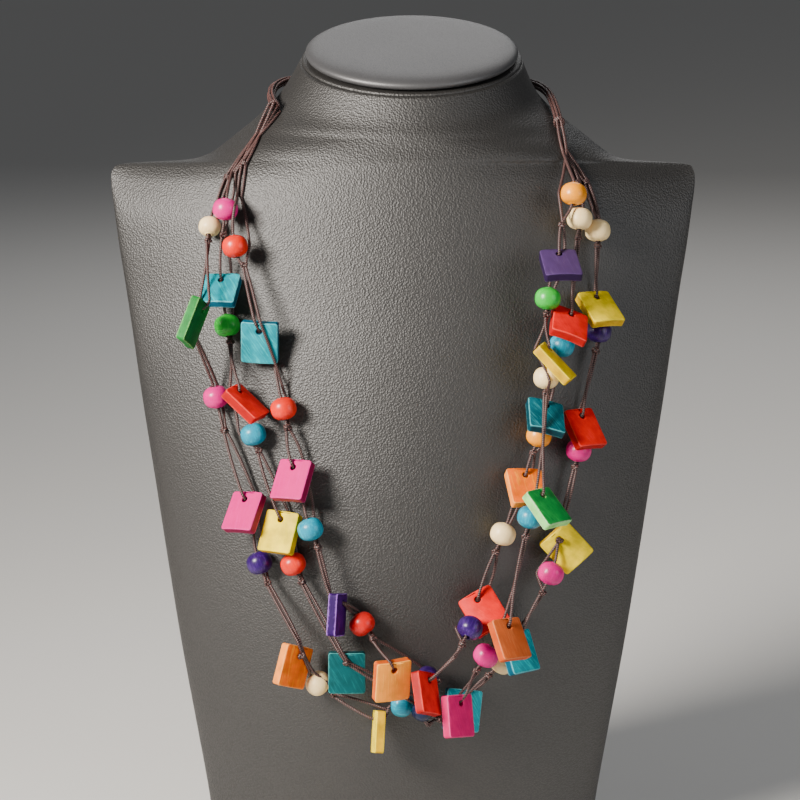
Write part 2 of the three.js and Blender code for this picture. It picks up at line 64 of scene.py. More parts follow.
FLOOR_REACH = 9.0
floor_mesh = bpy.data.meshes.new("floor")
floor_mesh.from_pydata(
    [(x * FLOOR_REACH, y * FLOOR_REACH, 0) for x, y in ((-1, -1), (1, -1), (1, 1), (-1, 1))],
    [], [(0, 1, 2, 3)],
)
floor = bpy.data.objects.new("floor", floor_mesh)
bpy.context.scene.collection.objects.link(floor)
floor_paint = bpy.data.materials.new("floor_paint")
floor_paint.use_nodes = True
floor_shader = floor_paint.node_tree.nodes["Principled BSDF"]
floor_shader.inputs["Base Color"].default_value = (0.74, 0.73, 0.71, 1)
floor_shader.inputs["Roughness"].default_value = 0.85
floor_mesh.materials.append(floor_paint)

LAMPS = [
    # name, place, aim, width, spread in degrees, watts, colour
    ("key_lamp", (-0.87, -0.76, 0.76), (-0.03, -0.04, 0.28), 0.5, 76, 9.6, (1.0, 0.94, 0.865)),
    ("fill_lamp", (1.2, -0.9, 0.55), (0, 0, 0.2), 1.0, 180, 6.5, (0.95, 0.97, 1.0)),
    ("cap_lamp", (0.1, 1.25, 1.15), (0, 0, 0.2), 1.1, 180, 5.0, (1.0, 1.0, 1.0)),
]
for name, place, aim, width, spread, watts, tint in LAMPS:
    lamp = bpy.data.lights.new(name, "AREA")
    lamp.shape = "DISK"
    lamp.size = width
    lamp.spread = math.radians(spread)
    lamp.energy = watts
    lamp.color = tint
    holder = bpy.data.objects.new(name, lamp)
    holder.location = place
    holder.rotation_euler = (Vector(aim) - holder.location).to_track_quat("-Z", "Y").to_euler()
    bpy.context.scene.collection.objects.link(holder)

studio = bpy.data.worlds.new("studio")
studio.use_nodes = True
room_light = studio.node_tree.nodes["Background"]
room_light.inputs["Color"].default_value = (0.95, 0.97, 1.0, 1)
room_light.inputs["Strength"].default_value = 0.1
bpy.context.scene.world = studio


# ---- Bust body -----------------------------------------------------------------------------------
# A moulded display form: a chest bowed front and back, with square shoulders and a slanted neck,
# wrapped in charcoal leatherette, which is turned over the neck's cut top in a thin rolled lip.

MM = 0.001                 # sizes are given in millimetres, and meshes are in metres
NECK_AXIS_Y = 18
BUST_SIDES = 240
STEPS_PER_LEVEL = 8
# z, half width, front, back, front sweep, back sweep, squareness, lean, shift: millimetres, degrees
BUST_LEVELS = [
    (0, 78, -52, 45, 30, 40, 5, 0, 0),
    (25, 81, -57, 46, 32, 41, 5, 0, 0),
    (55, 85.5, -63, 47, 34, 43, 5, 0, 0),
    (90, 91, -68, 48, 36, 44, 5, 0, 0),
    (125, 96, -70, 49, 38, 45, 5, 0, 0),
    (160, 101, -69, 50, 40, 46, 5, 0, 0),
    (190, 105.5, -65, 50, 40, 46, 5, 0, 0),
    (215, 109, -60, 50, 40, 46, 5, 0, 0),
    (235, 112, -54.5, 50, 40, 46, 5, 0, 0),
    (250, 114.5, -49.9, 50, 38.5, 46, 4.7, -2, 0),
    (264, 116.5, -45.5, 50, 37.8, 46, 4.5, -4, 0),
    (274, 118, -42, 50, 41.2, 46, 3.9, -6, 0),
    (279.5, 117.5, -39.9, 50, 43.1, 45, 2.9, -7, 0),
    (282, 113, -39.1, 51, 41.8, 42, 2.7, -7, 0.5),
    (283.5, 90, -38.4, 52, 25.6, 30, 3.3, -7, 2),
    (286, 81.5, -37.2, 53, 17.9, 18, 3.1, -6.5, 2.6),
    (290, 76, -35.6, 54.5, 11.5, 11, 2.6, -5, 2.8),
    (295.5, 69.5, -33.9, 56.5, 5, 5, 2.1, -2.5, 2.8),
    (302, 61.5, -32.6, 59, 0, 0, 2, 2, 2.6),
    (311, 52.2, -30.2, 61.5, 0, 0, 2, 7.5, 2.5),
    (325.2, 44.3, -26, 62, 0, 0, 2, 13.5, 3.6),
]
# how far the lip stands out, and how far below the cut it is
LIP = [(0.1, 1.7), (0.4, 1.2), (0.45, 0.7), (0.2, 0.2), (-0.4, 0), (-1.6, 0)]


def eased_level(steps):
    """The bust's section this many rows up its table, eased between the rows."""
    last = len(BUST_LEVELS) - 1
    row = min(int(steps), last - 1)
    t = steps - row
    before, low, high, after = (BUST_LEVELS[min(max(row + k, 0), last)] for k in (-1, 0, 1, 2))
    return [
        b + 0.5 * t * (c - a + t * (2 * a - 5 * b + 4 * c - d + t * (3 * (b - c) + d - a)))
        for a, b, c, d in zip(before, low, high, after)
    ]


def bust_point(level, turn, out=0.0, down=0.0):
    """A point of a section's outline. turn runs from the +X side round the back, closer together
    at the square sides."""
    z, half, front, back, front_sweep, back_sweep, square, lean, shift = level
    half_turns = turn / math.pi
    side = math.floor(half_turns)
    share = half_turns - side
    angle = math.pi * (side + share - math.sin(2 * math.pi * share) / (2 * math.pi))
    across = math.cos(angle)
    bulge = math.copysign((1 - abs(across) ** square) ** (1 / square), math.sin(angle))
    front += front_sweep * across**2 - out
    back += out - back_sweep * across**2
    reach = (front + back) / 2 + bulge * (back - front) / 2 - NECK_AXIS_Y
    lean = math.radians(lean)
    drop = Vector((0, math.sin(lean), -math.cos(lean))) * down
    point = Vector((
        shift + (half + out) * across,
        NECK_AXIS_Y + reach * math.cos(lean),
        z + reach * math.sin(lean),
    ))
    return MM * (point + drop)


def skin_rings(name, rings):
    """A closed mesh over rings of points, with both ends filled."""
    sides = len(rings[0])
    points = [point for ring in rings for point in ring]
    faces = []
    for low in range(len(rings) - 1):
        for i in range(sides):
            j = (i + 1) % sides
            faces.append((
                low * sides + i, low * sides + j, (low + 1) * sides + j, (low + 1) * sides + i,
            ))
    for ring in (0, len(rings) - 1):
        points.append(sum(rings[ring], Vector()) / sides)
        for i in range(sides):
            faces.append((ring * sides + i, ring * sides + (i + 1) % sides, len(points) - 1))
    mesh = bpy.data.meshes.new(name)
    mesh.from_pydata(points, [], faces)
    face_outwards(mesh)
    return mesh


def face_outwards(mesh):
    """Turns every face of a closed mesh outwards and shades it smooth."""
    shell = bmesh.new()
    shell.from_mesh(mesh)
    bmesh.ops.recalc_face_normals(shell, faces=shell.faces)
    shell.to_mesh(mesh)
    shell.free()
    mesh.polygons.foreach_set("use_smooth", [True] * len(mesh.polygons))


def add_piece(name, mesh, material, slot, *nodes):
    """Puts a finished mesh on the frame, in the place of the solids that it stands for."""
    piece = bpy.data.objects.new(name, mesh)
    bpy.context.scene.collection.objects.link(piece)
    mesh.materials.clear()
    mesh.materials.append(material)
    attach(piece, "root")
    if nodes:
        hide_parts(*nodes)
    return piece


turns = [2 * math.pi * i / BUST_SIDES for i in range(BUST_SIDES)]
top_level = BUST_LEVELS[-1]
body_rings = [
    [bust_point(eased_level(step / STEPS_PER_LEVEL), turn) for turn in turns]
    for step in range((len(BUST_LEVELS) - 1) * STEPS_PER_LEVEL)
]
body_rings += [[bust_point(top_level, turn, out, down) for turn in turns] for out, down in LIP]
body_mesh = skin_rings("bust_skin", body_rings)


def add_nodes(tree, **kinds):
    """New nodes of a tree by short names."""
    return {name: tree.nodes.new(kind) for name, kind in kinds.items()}


def socket_of(sockets, label):
    """A socket by its number, or by its name: some nodes keep one of that name for each data type,
    and the one in use is meant."""
    if isinstance(label, int):
        return sockets[label]
    return next(socket for socket in sockets if socket.name == label and socket.enabled)


def set_inputs(nodes, **settings):
    """Sets inputs that nothing feeds, as node={input: value}."""
    for name, values in settings.items():
        for label, value in values.items():
            socket_of(nodes[name].inputs, label).default_value = value


def wire(tree, nodes, *links):
    """Joins an output of one node to an input of another: (node, output, node, input)."""
    for giver, output, taker, entry in links:
        tree.links.new(
            socket_of(nodes[giver].outputs, output), socket_of(nodes[taker].inputs, entry)
        )


def new_material(name, **kinds):
    """A material, and its nodes by short names: its own shader and the ones asked for."""
    material = bpy.data.materials.new(name)
    material.use_nodes = True
    nodes = {"shader": material.node_tree.nodes["Principled BSDF"]}
    nodes.update(add_nodes(material.node_tree, **kinds))
    return material, nodes


def new_group(name, kind, inputs, outputs):
    """A node group with its named sockets: (name, socket type, default)."""
    group = bpy.data.node_groups.new(name, kind)
    for label, socket, value in inputs:
        made = group.interface.new_socket(label, in_out="INPUT", socket_type=socket)
        if value is not None:
            made.default_value = value
    for label, socket in outputs:
        group.interface.new_socket(label, in_out="OUTPUT", socket_type=socket)
    return group


# The embossed grain of leatherette: small rounded pebbles of uneven size with fine creases between.
pebble_grain = new_group(
    "pebble_grain", "ShaderNodeTree",
    [("Pebbles per Metre", "NodeSocketFloat", 900.0), ("Unevenness", "NodeSocketFloat", 0.4)],
    [("Height", "NodeSocketFloat"), ("Tone", "NodeSocketFloat")],
)
n = add_nodes(
    pebble_grain, given="NodeGroupInput", out="NodeGroupOutput", place="ShaderNodeTexCoord",
    wander="ShaderNodeTexNoise", moved="ShaderNodeVectorMath",
    pebbles="ShaderNodeTexVoronoi", dome="ShaderNodeMapRange", fine="ShaderNodeTexNoise",
    mixed="ShaderNodeMath", patches="ShaderNodeTexNoise",
)
n["moved"].operation = "MULTIPLY_ADD"
n["pebbles"].feature = "F1"
n["mixed"].operation = "MULTIPLY_ADD"
set_inputs(
    n,
    wander={"Scale": 420},
    moved={1: (0.00015, 0.00015, 0.00015)},
    dome={"From Min": 0.05, "From Max": 0.75, "To Min": 1.0, "To Max": 0.0},
    fine={"Scale": 4200, "Detail": 2},
    patches={"Scale": 22, "Detail": 3},
)
wire(
    pebble_grain, n,
    ("place", "Object", "wander", "Vector"),
    ("wander", "Color", "moved", 0),
    ("place", "Object", "moved", 2),
    ("moved", 0, "pebbles", "Vector"),
    ("given", "Pebbles per Metre", "pebbles", "Scale"),
    ("pebbles", "Distance", "dome", "Value"),
    ("place", "Object", "fine", "Vector"),
    ("fine", "Fac", "mixed", 0),
    ("given", "Unevenness", "mixed", 1),
    ("dome", "Result", "mixed", 2),
    ("mixed", 0, "out", "Height"),
    ("place", "Object", "patches", "Vector"),
    ("patches", "Fac", "out", "Tone"),
)


def set_ramp(node, *stops):
    """Sets the two ends of a colour ramp: (position, colour)."""
    for element, (position, colour) in zip(node.color_ramp.elements, stops):
        element.color = colour
        element.position = position


def leatherette(name, dark, light, pebbles, depth, roughness):
    """Charcoal leatherette with a soft sheen. Its colour is painted shade and light, darker in the
    creases and lighter on the pebble tops, over random patches of tone.
    """
    material, m = new_material(
        name, grain="ShaderNodeGroup", tint="ShaderNodeValToRGB", crease="ShaderNodeMath",
        sheen="ShaderNodeMapRange", bump="ShaderNodeBump",
    )
    m["grain"].node_tree = pebble_grain
    m["crease"].operation = "MULTIPLY_ADD"
    # Painted shade in the creases and painted light on the pebble tops, from the grain's height.
    set_ramp(m["tint"], (0.25, (*dark, 1)), (0.95, (*light, 1)))
    set_inputs(
        m,
        grain={"Pebbles per Metre": pebbles},
        crease={1: 0.5},
        sheen={"From Max": 1.2, "To Min": roughness + 0.16, "To Max": roughness},
        bump={"Strength": depth, "Distance": 0.0003},
        shader={"Specular IOR Level": 1.0},
    )
    wire(
        material.node_tree, m,
        ("grain", "Height", "crease", 0),
        ("grain", "Tone", "crease", 2),
        ("crease", 0, "tint", "Fac"),
        ("tint", "Color", "shader", "Base Color"),
        ("grain", "Height", "sheen", "Value"),
        ("sheen", "Result", "shader", "Roughness"),
        ("grain", "Height", "bump", "Height"),
        ("bump", "Normal", "shader", "Normal"),
    )
    return material


bust_leatherette = leatherette(
    "bust_leatherette", (0.003, 0.0026, 0.0022), (0.0115, 0.0101, 0.009), 1250, 0.5, 0.45,
)
add_piece("bust_skin", body_mesh, bust_leatherette, "leatherette", "bust_body")


# ---- Neck cap ------------------------------------------------------------------------------------
# A board disc padded with thin foam under the same leatherette, pulled tight so that its grain
# nearly vanishes on top. It is glued on the neck's cut, a hair's breadth above the lip.

CAP_SEAM = 0.3
CAP_SIDES = 144
# radius and height, from the foot's edge round the padded rim to the middle
CAP_PROFILE = [
    (38.5, 0), (41.0, 0.2), (42.2, 0.6), (42.9, 1.2), (43.2, 1.9), (43.1, 2.6), (42.6, 3.2),
    (41.6, 3.8), (40.0, 4.35), (37.6, 4.75), (34, 5.0), (29, 5.15), (22, 5.28), (14, 5.36),
    (6, 5.4),
]
cap_turn = Matrix.Rotation(math.radians(top_level[7]), 4, "X")
cap_foot = Vector((top_level[8], NECK_AXIS_Y, top_level[0] + CAP_SEAM))
cap_rings = [
    [
        MM * (cap_foot + cap_turn @ Vector((
            radius * math.cos(2 * math.pi * i / CAP_SIDES),
            radius * math.sin(2 * math.pi * i / CAP_SIDES),
            height,
        )))
        for i in range(CAP_SIDES)
    ]
    for radius, height in CAP_PROFILE
]
# Painted light: the cap's leatherette is a lighter copy of the body's, for the light on its top.
cap_leatherette = leatherette(
    "cap_leatherette", (0.030, 0.030, 0.032), (0.050, 0.050, 0.053), 2200, 0.12, 0.4,
)
add_piece("cap_skin", skin_rings("cap_skin", cap_rings), cap_leatherette, "leatherette", "neck_cap")


# ---- What is threaded on each half strand ---------------------------------------------------------
# Three strands run from the wrap beside the neck to the middle of the chest, and meet the other
# half there. Beads and tiles are threaded by turns on one of a strand's two cords, and the other
# cord goes round most of them. Millimetres and degrees, in the order of threading.

# They are laid in this order, so a later one lies over an earlier one.
# rank: place in the wrap. via: x and z of the strand's way to its first bead. meet: where it ends.
# A bead: at, its x and z, where it is part of its strand's solid. size, as a share of the others'.
# past, the side on which the second cord passes it. knot, how far below it the knot sits, and aside,
# how far to the right.
# A tile: swing, face towards +X. tip, upper edge back. lean, upper edge towards +X. length and bow
# where they aren't the usual ones. dye, a darker copy of its colour's finish that paints shade on
# the tile, where it isn't the plain one. first, laid under the other strands. over, the second cord
# lies on its face. from_behind, both cords come through the hole from behind. knotted, the two are
# knotted in front of the hole.
HALF_STRANDS = {
    "outer_left": {
        "rank": 1,
        "via": [(-58, 297), (-69.5, 282), (-73, 272)],
        "meet": (10, -76, 72),
        "pieces": [
            ("bead", "cream", {"at": (-76, 264), "knot": 0.6, "size": 0.86}),
            ("tile", "forest", {"swing": 70, "tip": -13, "lean": 27, "length": 18,
                                 "dye": "grass"}),
            ("bead", "pink", {"at": (-73.5, 198.5), "knot": 8}),
            ("tile", "rose", {"swing": -40, "tip": 38, "lean": -8}),
            ("bead", "violet", {"at": (-56.5, 134.5), "knot": 3}),
            ("tile", "tangerine", {"swing": 45, "tip": 0, "lean": 20, "knotted": True}),
            ("bead", "cream", {"at": (-33.5, 87), "past": "above"}),
            ("tile", "yellow", {"swing": -85, "tip": 5, "lean": -17}),
            ("bead", "teal", {"at": (-0.5, 79.5)}),
        ],
    },
    "outer_right": {
        "rank": 1,
        "via": [(64, 292), (72.5, 280), (76, 270)],
        "meet": (10, -76, 72),
        "pieces": [
            ("bead", "cream", {"at": (76.5, 262.5), "knot": 0.5}),
            ("tile", "yellow", {"swing": 33, "tip": 55, "lean": 4}),
            ("bead", "violet", {"at": (77, 223.5)}),
            ("tile", "red", {"swing": 42, "tip": 40, "lean": 5}),
            ("bead", "pink", {"at": (69, 178), "knot": 1}),
            ("tile", "yellow", {"swing": 5, "tip": 2, "lean": -42, "from_behind": True,
                                 "knotted": True}),
            ("bead", "pink", {"at": (58, 131.5), "past": "left", "knot": 2.5}),
            ("tile", "teal", {"swing": 43, "tip": 26, "lean": 2}),
            ("bead", "cream", {"at": (39, 95.5)}),
            ("tile", "teal", {"swing": 17, "tip": 13, "lean": 10}),
        ],
    },
    "middle_left": {
        "rank": 0,
        "via": [(-58, 297), (-67, 284)],
        "meet": (17, -80, 74),
        "pieces": [
            ("bead", "pink", {"at": (-69.5, 271.5), "knot": 4.3}),
            ("tile", "teal", {"swing": -17, "tip": 52, "lean": -4, "length": 15, "first": True}),
            ("bead", "green", {"at": (-69, 226.5), "knot": 1}),
            ("tile", "red", {"swing": 70, "tip": 50, "lean": 0}),
            ("bead", "teal", {"at": (-58.5, 185.5), "past": "left", "knot": 1}),
            ("tile", "yellow", {"swing": -28, "tip": 29, "lean": 0}),
            ("bead", "coral", {"at": (-43, 135.5)}),
            ("tile", "deep_teal", {"swing": 0, "tip": 0, "lean": 0, "knotted": True}),
            ("bead", "navy", {"at": (8, 80)}),
        ],
    },
    "inner_left": {
        "rank": -1,
        "via": [(-58, 297), (-63, 287), (-64.5, 275)],
        "meet": (20, -92, 105),
        "pieces": [
            ("bead", "coral", {"past": "right", "knot": 1.8, "aside": 2}),
            ("tile", "teal", {"swing": -8, "tip": -8, "lean": 2, "over": True}),
            ("bead", "coral", {}),
            ("tile", "rose", {"swing": -34, "tip": 35, "lean": -5}),
            ("bead", "teal", {}),
            ("tile", "purple", {"swing": 75, "tip": 0, "lean": 14, "from_behind": True}),
            ("bead", "red", {}),
            ("tile", "peach", {"swing": 23, "tip": -8, "lean": 0}),
            ("bead", "violet", {}),
            ("tile", "red", {"swing": 66, "tip": 20, "lean": 22, "from_behind": True}),
        ],
    },
    "inner_right": {
        "rank": 0,
        "via": [(64, 292), (69, 280)],
        "meet": (20, -92, 105),
        "pieces": [
            ("bead", "cream", {}),
            ("tile", "red", {"swing": 41, "tip": 56, "lean": 41}),
            ("bead", "teal", {}),
            ("tile", "teal", {"swing": 33, "tip": 56, "lean": 27, "dye": "petrol"}),
            ("bead", "orange", {"past": "right", "knot": 1.4}),
            ("tile", "tangerine", {"swing": 21, "tip": 49, "lean": 7}),
            ("bead", "cream", {}),
            ("tile", "red", {"swing": -5, "tip": 30, "lean": -32, "bow": 16}),
            ("bead", "violet", {"past": "left"}),
        ],
    },
    "middle_right": {
        "rank": -1,
        "via": [(64, 292)],
        "meet": (17, -80, 74),
        "pieces": [
            ("bead", "orange", {"at": (66.5, 278), "past": "left", "knot": 8, "aside": -2}),
            ("tile", "lilac", {"swing": 9, "tip": 64, "lean": 1}),
            ("bead", "green", {"at": (56, 239.5), "knot": 0.5}),
            ("tile", "yellow", {"swing": 82, "tip": 45, "lean": 6, "length": 18, "bow": 28}),
            ("bead", "cream", {"at": (55.5, 209), "past": "front", "knot": 0.5}),
            ("tile", "forest", {"swing": 52, "tip": 47, "lean": 4}),
            ("bead", "teal", {"at": (49, 157.5)}),
            ("tile", "copper", {"swing": 45, "tip": 33, "lean": 7}),
            ("bead", "pink", {"at": (32.5, 100.5)}),
            ("tile", "magenta", {"swing": 50, "tip": 15, "lean": 11}),
        ],
    },
}

# Every piece gets the name of the solid that it stands for, where it has one.
strands = []
for strand_name, strand in HALF_STRANDS.items():
    counts = {"bead": 0, "tile": 0}
    threaded = []
    for kind, colour, lie in strand["pieces"]:
        counts[kind] += 1
        node = f"{kind}_{strand_name}_{counts[kind]}"
        threaded.append({"kind": kind, "colour": colour, "node": node, **lie})
    strands.append({**strand, "name": strand_name, "pieces": threaded})


# ---- Tiles ---------------------------------------------------------------------------------------
# Flat chips of wood, sawn, drilled near the upper edge and dyed. They are slightly bowed, with
# softened edges and rounded corners. Dye has soaked in unevenly. The softened edges are painted a
# paler tint, partly dye rubbed off and partly painted highlight.

TILE_LENGTH, TILE_WIDTH, TILE_THICKNESS, TILE_BOW = 16.5, 14.5, 3.6, 45
TILE_HOLE, TILE_HOLE_INSET = 1.2, 3.4       # its radius, and how far below the upper edge it is
TILE_CORNER = 1.0
OUT_OF_TRUE = 0.018
SIDE_SWELL = 0.4                            # the most that a side may stand out past the width
CORNER_STEPS, SIDE_STEPS = 5, 9
BLOCK_SIZE = 90                             # every piece is cut from its own place in such a block

# A section through the tile from the hole's wall, over the face, round the edge and back. share: how
# far from the hole to the outline. inset: back from there towards the hole. drop: below the face.
TILE_SECTION = [
    # share, inset, drop, rim colour share (rubbed dye and painted highlight), sawn side
    (0, 0, 1.2, 0, 1), (0, 0, 0.35, 0.1, 1), (0, -0.1, 0.12, 0.3, 0.5), (0, -0.3, 0, 0.1, 0),
    (0, -0.8, 0, 0, 0), (0.35, 0, 0, 0, 0), (0.6, 0, 0, 0, 0), (0.82, 0, 0, 0, 0),
    (1, 0.8, 0, 0, 0), (1, 0.36, 0.01, 0.3, 0), (1, 0.13, 0.09, 0.9, 0), (1, 0.03, 0.24, 0.9, 0.4),
    (1, 0, 0.45, 0.3, 1), (1, 0, 1.2, 0, 1),
]


def wood_attributes(mesh, grain, wear, sawn):
    """Where each point lies in the piece's own block of wood, how much of the rim colour it takes,
    and whether it is on a sawn side. The rim colour is partly painted light: a paler tint on a tile's
    softened edges, a darker one in a bead's bore."""
    values = mesh.attributes.new("grain", "FLOAT_VECTOR", "POINT")
    values.data.foreach_set("vector", [c for point in grain for c in point])
    for name, amounts in (("wear", wear), ("sawn", sawn)):
        values = mesh.attributes.new(name, "FLOAT", "POINT")
        values.data.foreach_set("value", amounts)


def bow_depth(bow, x):
    """How far a bowed face falls back at a distance from its middle. bow is its radius."""
    return bow - math.sqrt(bow * bow - x * x)


def tile_outline(length, width, cut):
    """The outline of a hand-cut tile, anticlockwise from the middle of its right side. Its sides are
    a little out of true."""
    out_of_true = [cut.uniform(-OUT_OF_TRUE, OUT_OF_TRUE) for _ in range(4)]
    outline = []
    inner_x, inner_z = width / 2 - TILE_CORNER, length / 2 - TILE_CORNER
    for corner, (sx, sz) in enumerate(((1, 1), (-1, 1), (-1, -1), (1, -1))):
        for step in range(CORNER_STEPS + 1):
            angle = math.pi / 2 * (corner + step / CORNER_STEPS)
            outline.append((
                sx * inner_x + TILE_CORNER * math.cos(angle),
                sz * inner_z + TILE_CORNER * math.sin(angle),
            ))
        ex, ez = outline[-1]
        nx, nz = ((-inner_x, length / 2), (-width / 2, -inner_z), (inner_x, -length / 2),
                  (width / 2, inner_z))[corner]
        for step in range(1, SIDE_STEPS):
            t = step / SIDE_STEPS
            outline.append((ex + (nx - ex) * t, ez + (nz - ez) * t))
    return [
        (x * (1 + out_of_true[0] * z / length + out_of_true[1] * x / width),
         z * (1 + out_of_true[2] * x / width + out_of_true[3] * z / length))
        for x, z in outline
    ]


def tile_shape(piece, cut):
    """Points of a tile in its own block, with wear and sawn sides, and its faces."""
    length, bow = piece.get("length", TILE_LENGTH), piece.get("bow", TILE_BOW)
    hole_z = length / 2 - TILE_HOLE_INSET
    back = [
        (share, inset, TILE_THICKNESS - drop, wear, sawn)
        for share, inset, drop, wear, sawn in reversed(TILE_SECTION)
    ]
    section = TILE_SECTION + back
    points, rim_masks, sides = [], [], []
    spokes = tile_outline(length, TILE_WIDTH, cut)
    for x, z in spokes:
        run = Vector((x, z - hole_z))
        reach = run.length
        run.normalize()
        for share, inset, drop, wear, sawn in section:
            distance = TILE_HOLE + (reach - TILE_HOLE) * share - inset
            px, pz = run.x * distance, hole_z + run.y * distance
            px = max(-TILE_WIDTH / 2 - SIDE_SWELL, min(TILE_WIDTH / 2 + SIDE_SWELL, px))
            points.append(Vector((px, bow_depth(bow, px) + drop, pz)))
            rim_masks.append(wear)
            sides.append(sawn)
    size = len(section)
    faces = []
    for i in range(len(spokes)):
        for j in range(size):
            a, b = i * size, ((i + 1) % len(spokes)) * size
            faces.append((a + j, a + (j + 1) % size, b + (j + 1) % size, b + j))
    return points, rim_masks, sides, faces


def tile_turn(piece):
    """How a tile is turned as it hangs."""
    return (
        Matrix.Rotation(math.radians(piece["swing"]), 3, "Z")
        @ Matrix.Rotation(math.radians(-piece["tip"]), 3, "X")
        @ Matrix.Rotation(math.radians(piece["lean"]), 3, "Y")
    )


def settle_tile(piece):
    """Finds where the tile hangs: its turned block is fitted into the box of its solid."""
    length, bow = piece.get("length", TILE_LENGTH), piece.get("bow", TILE_BOW)
    turn = tile_turn(piece)
    low = Vector((math.inf, math.inf, math.inf))
    for x in (-0.5, -0.25, 0, 0.25, 0.5):
        for deep in (0, TILE_THICKNESS):
            for end in (-length / 2, length / 2):
                corner = turn @ Vector((x * TILE_WIDTH, bow_depth(bow, x * TILE_WIDTH) + deep, end))
                low = Vector(map(min, low, corner))
    piece["turn"] = turn
    piece["place"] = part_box(piece["node"])[0] / MM - low
    piece["hole"] = Vector((0, 0, length / 2 - TILE_HOLE_INSET))
    piece["half"] = Vector((TILE_WIDTH / 2, 0, length / 2))
    piece["back"] = TILE_THICKNESS + bow_depth(bow, TILE_WIDTH / 2)


# Stained wood: streaks along the grain, cloudy patches where the dye took unevenly, and another tone
# along the edges. That edge tone is partly painted light: a paler tint on tiles' edges, part rubbed
# dye and part painted highlight, and a darker one in beads' bores, part dye and part painted shade.
stained_wood = new_group(
    "stained_wood", "ShaderNodeTree",
    [
        ("Dye", "NodeSocketColor", (0.5, 0.1, 0.1, 1)),
        ("Streaks", "NodeSocketColor", (0.7, 0.4, 0.4, 1)),
        ("Edge", "NodeSocketColor", (0.8, 0.5, 0.5, 1)),
        ("Sawn Side", "NodeSocketColor", (0.4, 0.1, 0.1, 1)),
        ("Streak Strength", "NodeSocketFloat", 0.3),
        ("Streak Slant", "NodeSocketFloat", 0.2),
        ("Cloud Strength", "NodeSocketFloat", 0.2),
        ("Edge Strength", "NodeSocketFloat", 0.6),
    ],
    [("Colour", "NodeSocketColor"), ("Streak", "NodeSocketFloat"), ("Height", "NodeSocketFloat")],
)
n = add_nodes(
    stained_wood, given="NodeGroupInput", out="NodeGroupOutput", block="ShaderNodeAttribute",
    wear="ShaderNodeAttribute", sawn="ShaderNodeAttribute", sided="ShaderNodeMix",
    slant="ShaderNodeCombineXYZ", turned="ShaderNodeVectorRotate",
    squeezed="ShaderNodeVectorMath", fibres="ShaderNodeTexNoise", lines="ShaderNodeMapRange",
    line_share="ShaderNodeMath", streaked="ShaderNodeMix", clouds="ShaderNodeTexNoise",
    cloud_range="ShaderNodeMapRange", cloud_share="ShaderNodeMath", clouded="ShaderNodeHueSaturation",
    cloud_value="ShaderNodeMapRange", chips="ShaderNodeTexNoise", chipped="ShaderNodeMath",
    worn="ShaderNodeMath", worn_range="ShaderNodeMapRange", edged="ShaderNodeMix",
    pores="ShaderNodeTexNoise", height="ShaderNodeMath",
)
n["block"].attribute_name = "grain"
n["wear"].attribute_name = "wear"
n["sawn"].attribute_name = "sawn"
n["sided"].data_type = "RGBA"
n["turned"].rotation_type = "EULER_XYZ"
n["squeezed"].operation = "MULTIPLY"
n["line_share"].operation = "MULTIPLY"
n["streaked"].data_type = "RGBA"
n["cloud_share"].operation = "MULTIPLY"
n["chipped"].operation = "MULTIPLY_ADD"
n["worn"].operation = "MULTIPLY"
n["edged"].data_type = "RGBA"
n["height"].operation = "MULTIPLY_ADD"
set_inputs(
    n,
    squeezed={1: (1.0, 1.0, 0.09)},
    fibres={"Scale": 1.3, "Detail": 4, "Roughness": 0.62},
    lines={"From Min": 0.5, "From Max": 0.72},
    clouds={"Scale": 0.2, "Detail": 3},
    cloud_range={"From Min": 0.3, "From Max": 0.7, "To Min": -1.0},
    cloud_value={"From Min": -1.0, "From Max": 1.0, "To Min": 0.35, "To Max": 1.65},
    chips={"Scale": 0.9, "Detail": 4},
    chipped={1: 0.9},
    worn_range={"From Min": 0.62, "From Max": 1.35},
    pores={"Scale": 3.2, "Detail": 2},
    height={1: 0.6},
)
wire(
    stained_wood, n,
    ("given", "Streak Slant", "slant", "Y"),
    ("block", "Vector", "turned", "Vector"),
    ("slant", 0, "turned", "Rotation"),
    ("turned", 0, "squeezed", 0),
    ("squeezed", 0, "fibres", "Vector"),
    ("fibres", "Fac", "lines", "Value"),
    ("lines", "Result", "line_share", 0),
    ("given", "Streak Strength", "line_share", 1),
    ("line_share", 0, "streaked", "Factor"),
    ("given", "Dye", "streaked", "A"),
    ("given", "Streaks", "streaked", "B"),
    ("block", "Vector", "clouds", "Vector"),
    ("clouds", "Fac", "cloud_range", "Value"),
    ("cloud_range", "Result", "cloud_share", 0),
    ("given", "Cloud Strength", "cloud_share", 1),
    ("cloud_share", 0, "cloud_value", "Value"),
    ("streaked", "Result", "sided", "A"),
    ("given", "Sawn Side", "sided", "B"),
    ("sawn", "Fac", "sided", "Factor"),
    ("sided", "Result", "clouded", "Color"),
    ("cloud_value", "Result", "clouded", "Value"),
    # Painted light: the edge colour goes on the rims, a highlight tint on tiles and shade in beads'
    # bores.
    ("block", "Vector", "chips", "Vector"),
    ("chips", "Fac", "chipped", 0),
    ("wear", "Fac", "chipped", 2),
    ("chipped", 0, "worn_range", "Value"),
    ("worn_range", "Result", "worn", 0),
    ("given", "Edge Strength", "worn", 1),
    ("worn", 0, "edged", "Factor"),
    ("clouded", "Color", "edged", "A"),
    ("given", "Edge", "edged", "B"),
    ("edged", "Result", "out", "Colour"),
    ("lines", "Result", "out", "Streak"),
    ("squeezed", 0, "pores", "Vector"),
    ("pores", "Fac", "height", 0),
    ("lines", "Result", "height", 2),
    ("height", 0, "out", "Height"),
)


def linear(red, green, blue):
    """A colour given in the usual 0 to 255, as the shader's linear values."""
    return tuple(
        c / 12.92 if c <= 0.04045 else ((c + 0.055) / 1.055) ** 2.4
        for c in (red / 255, green / 255, blue / 255)
    ) + (1,)


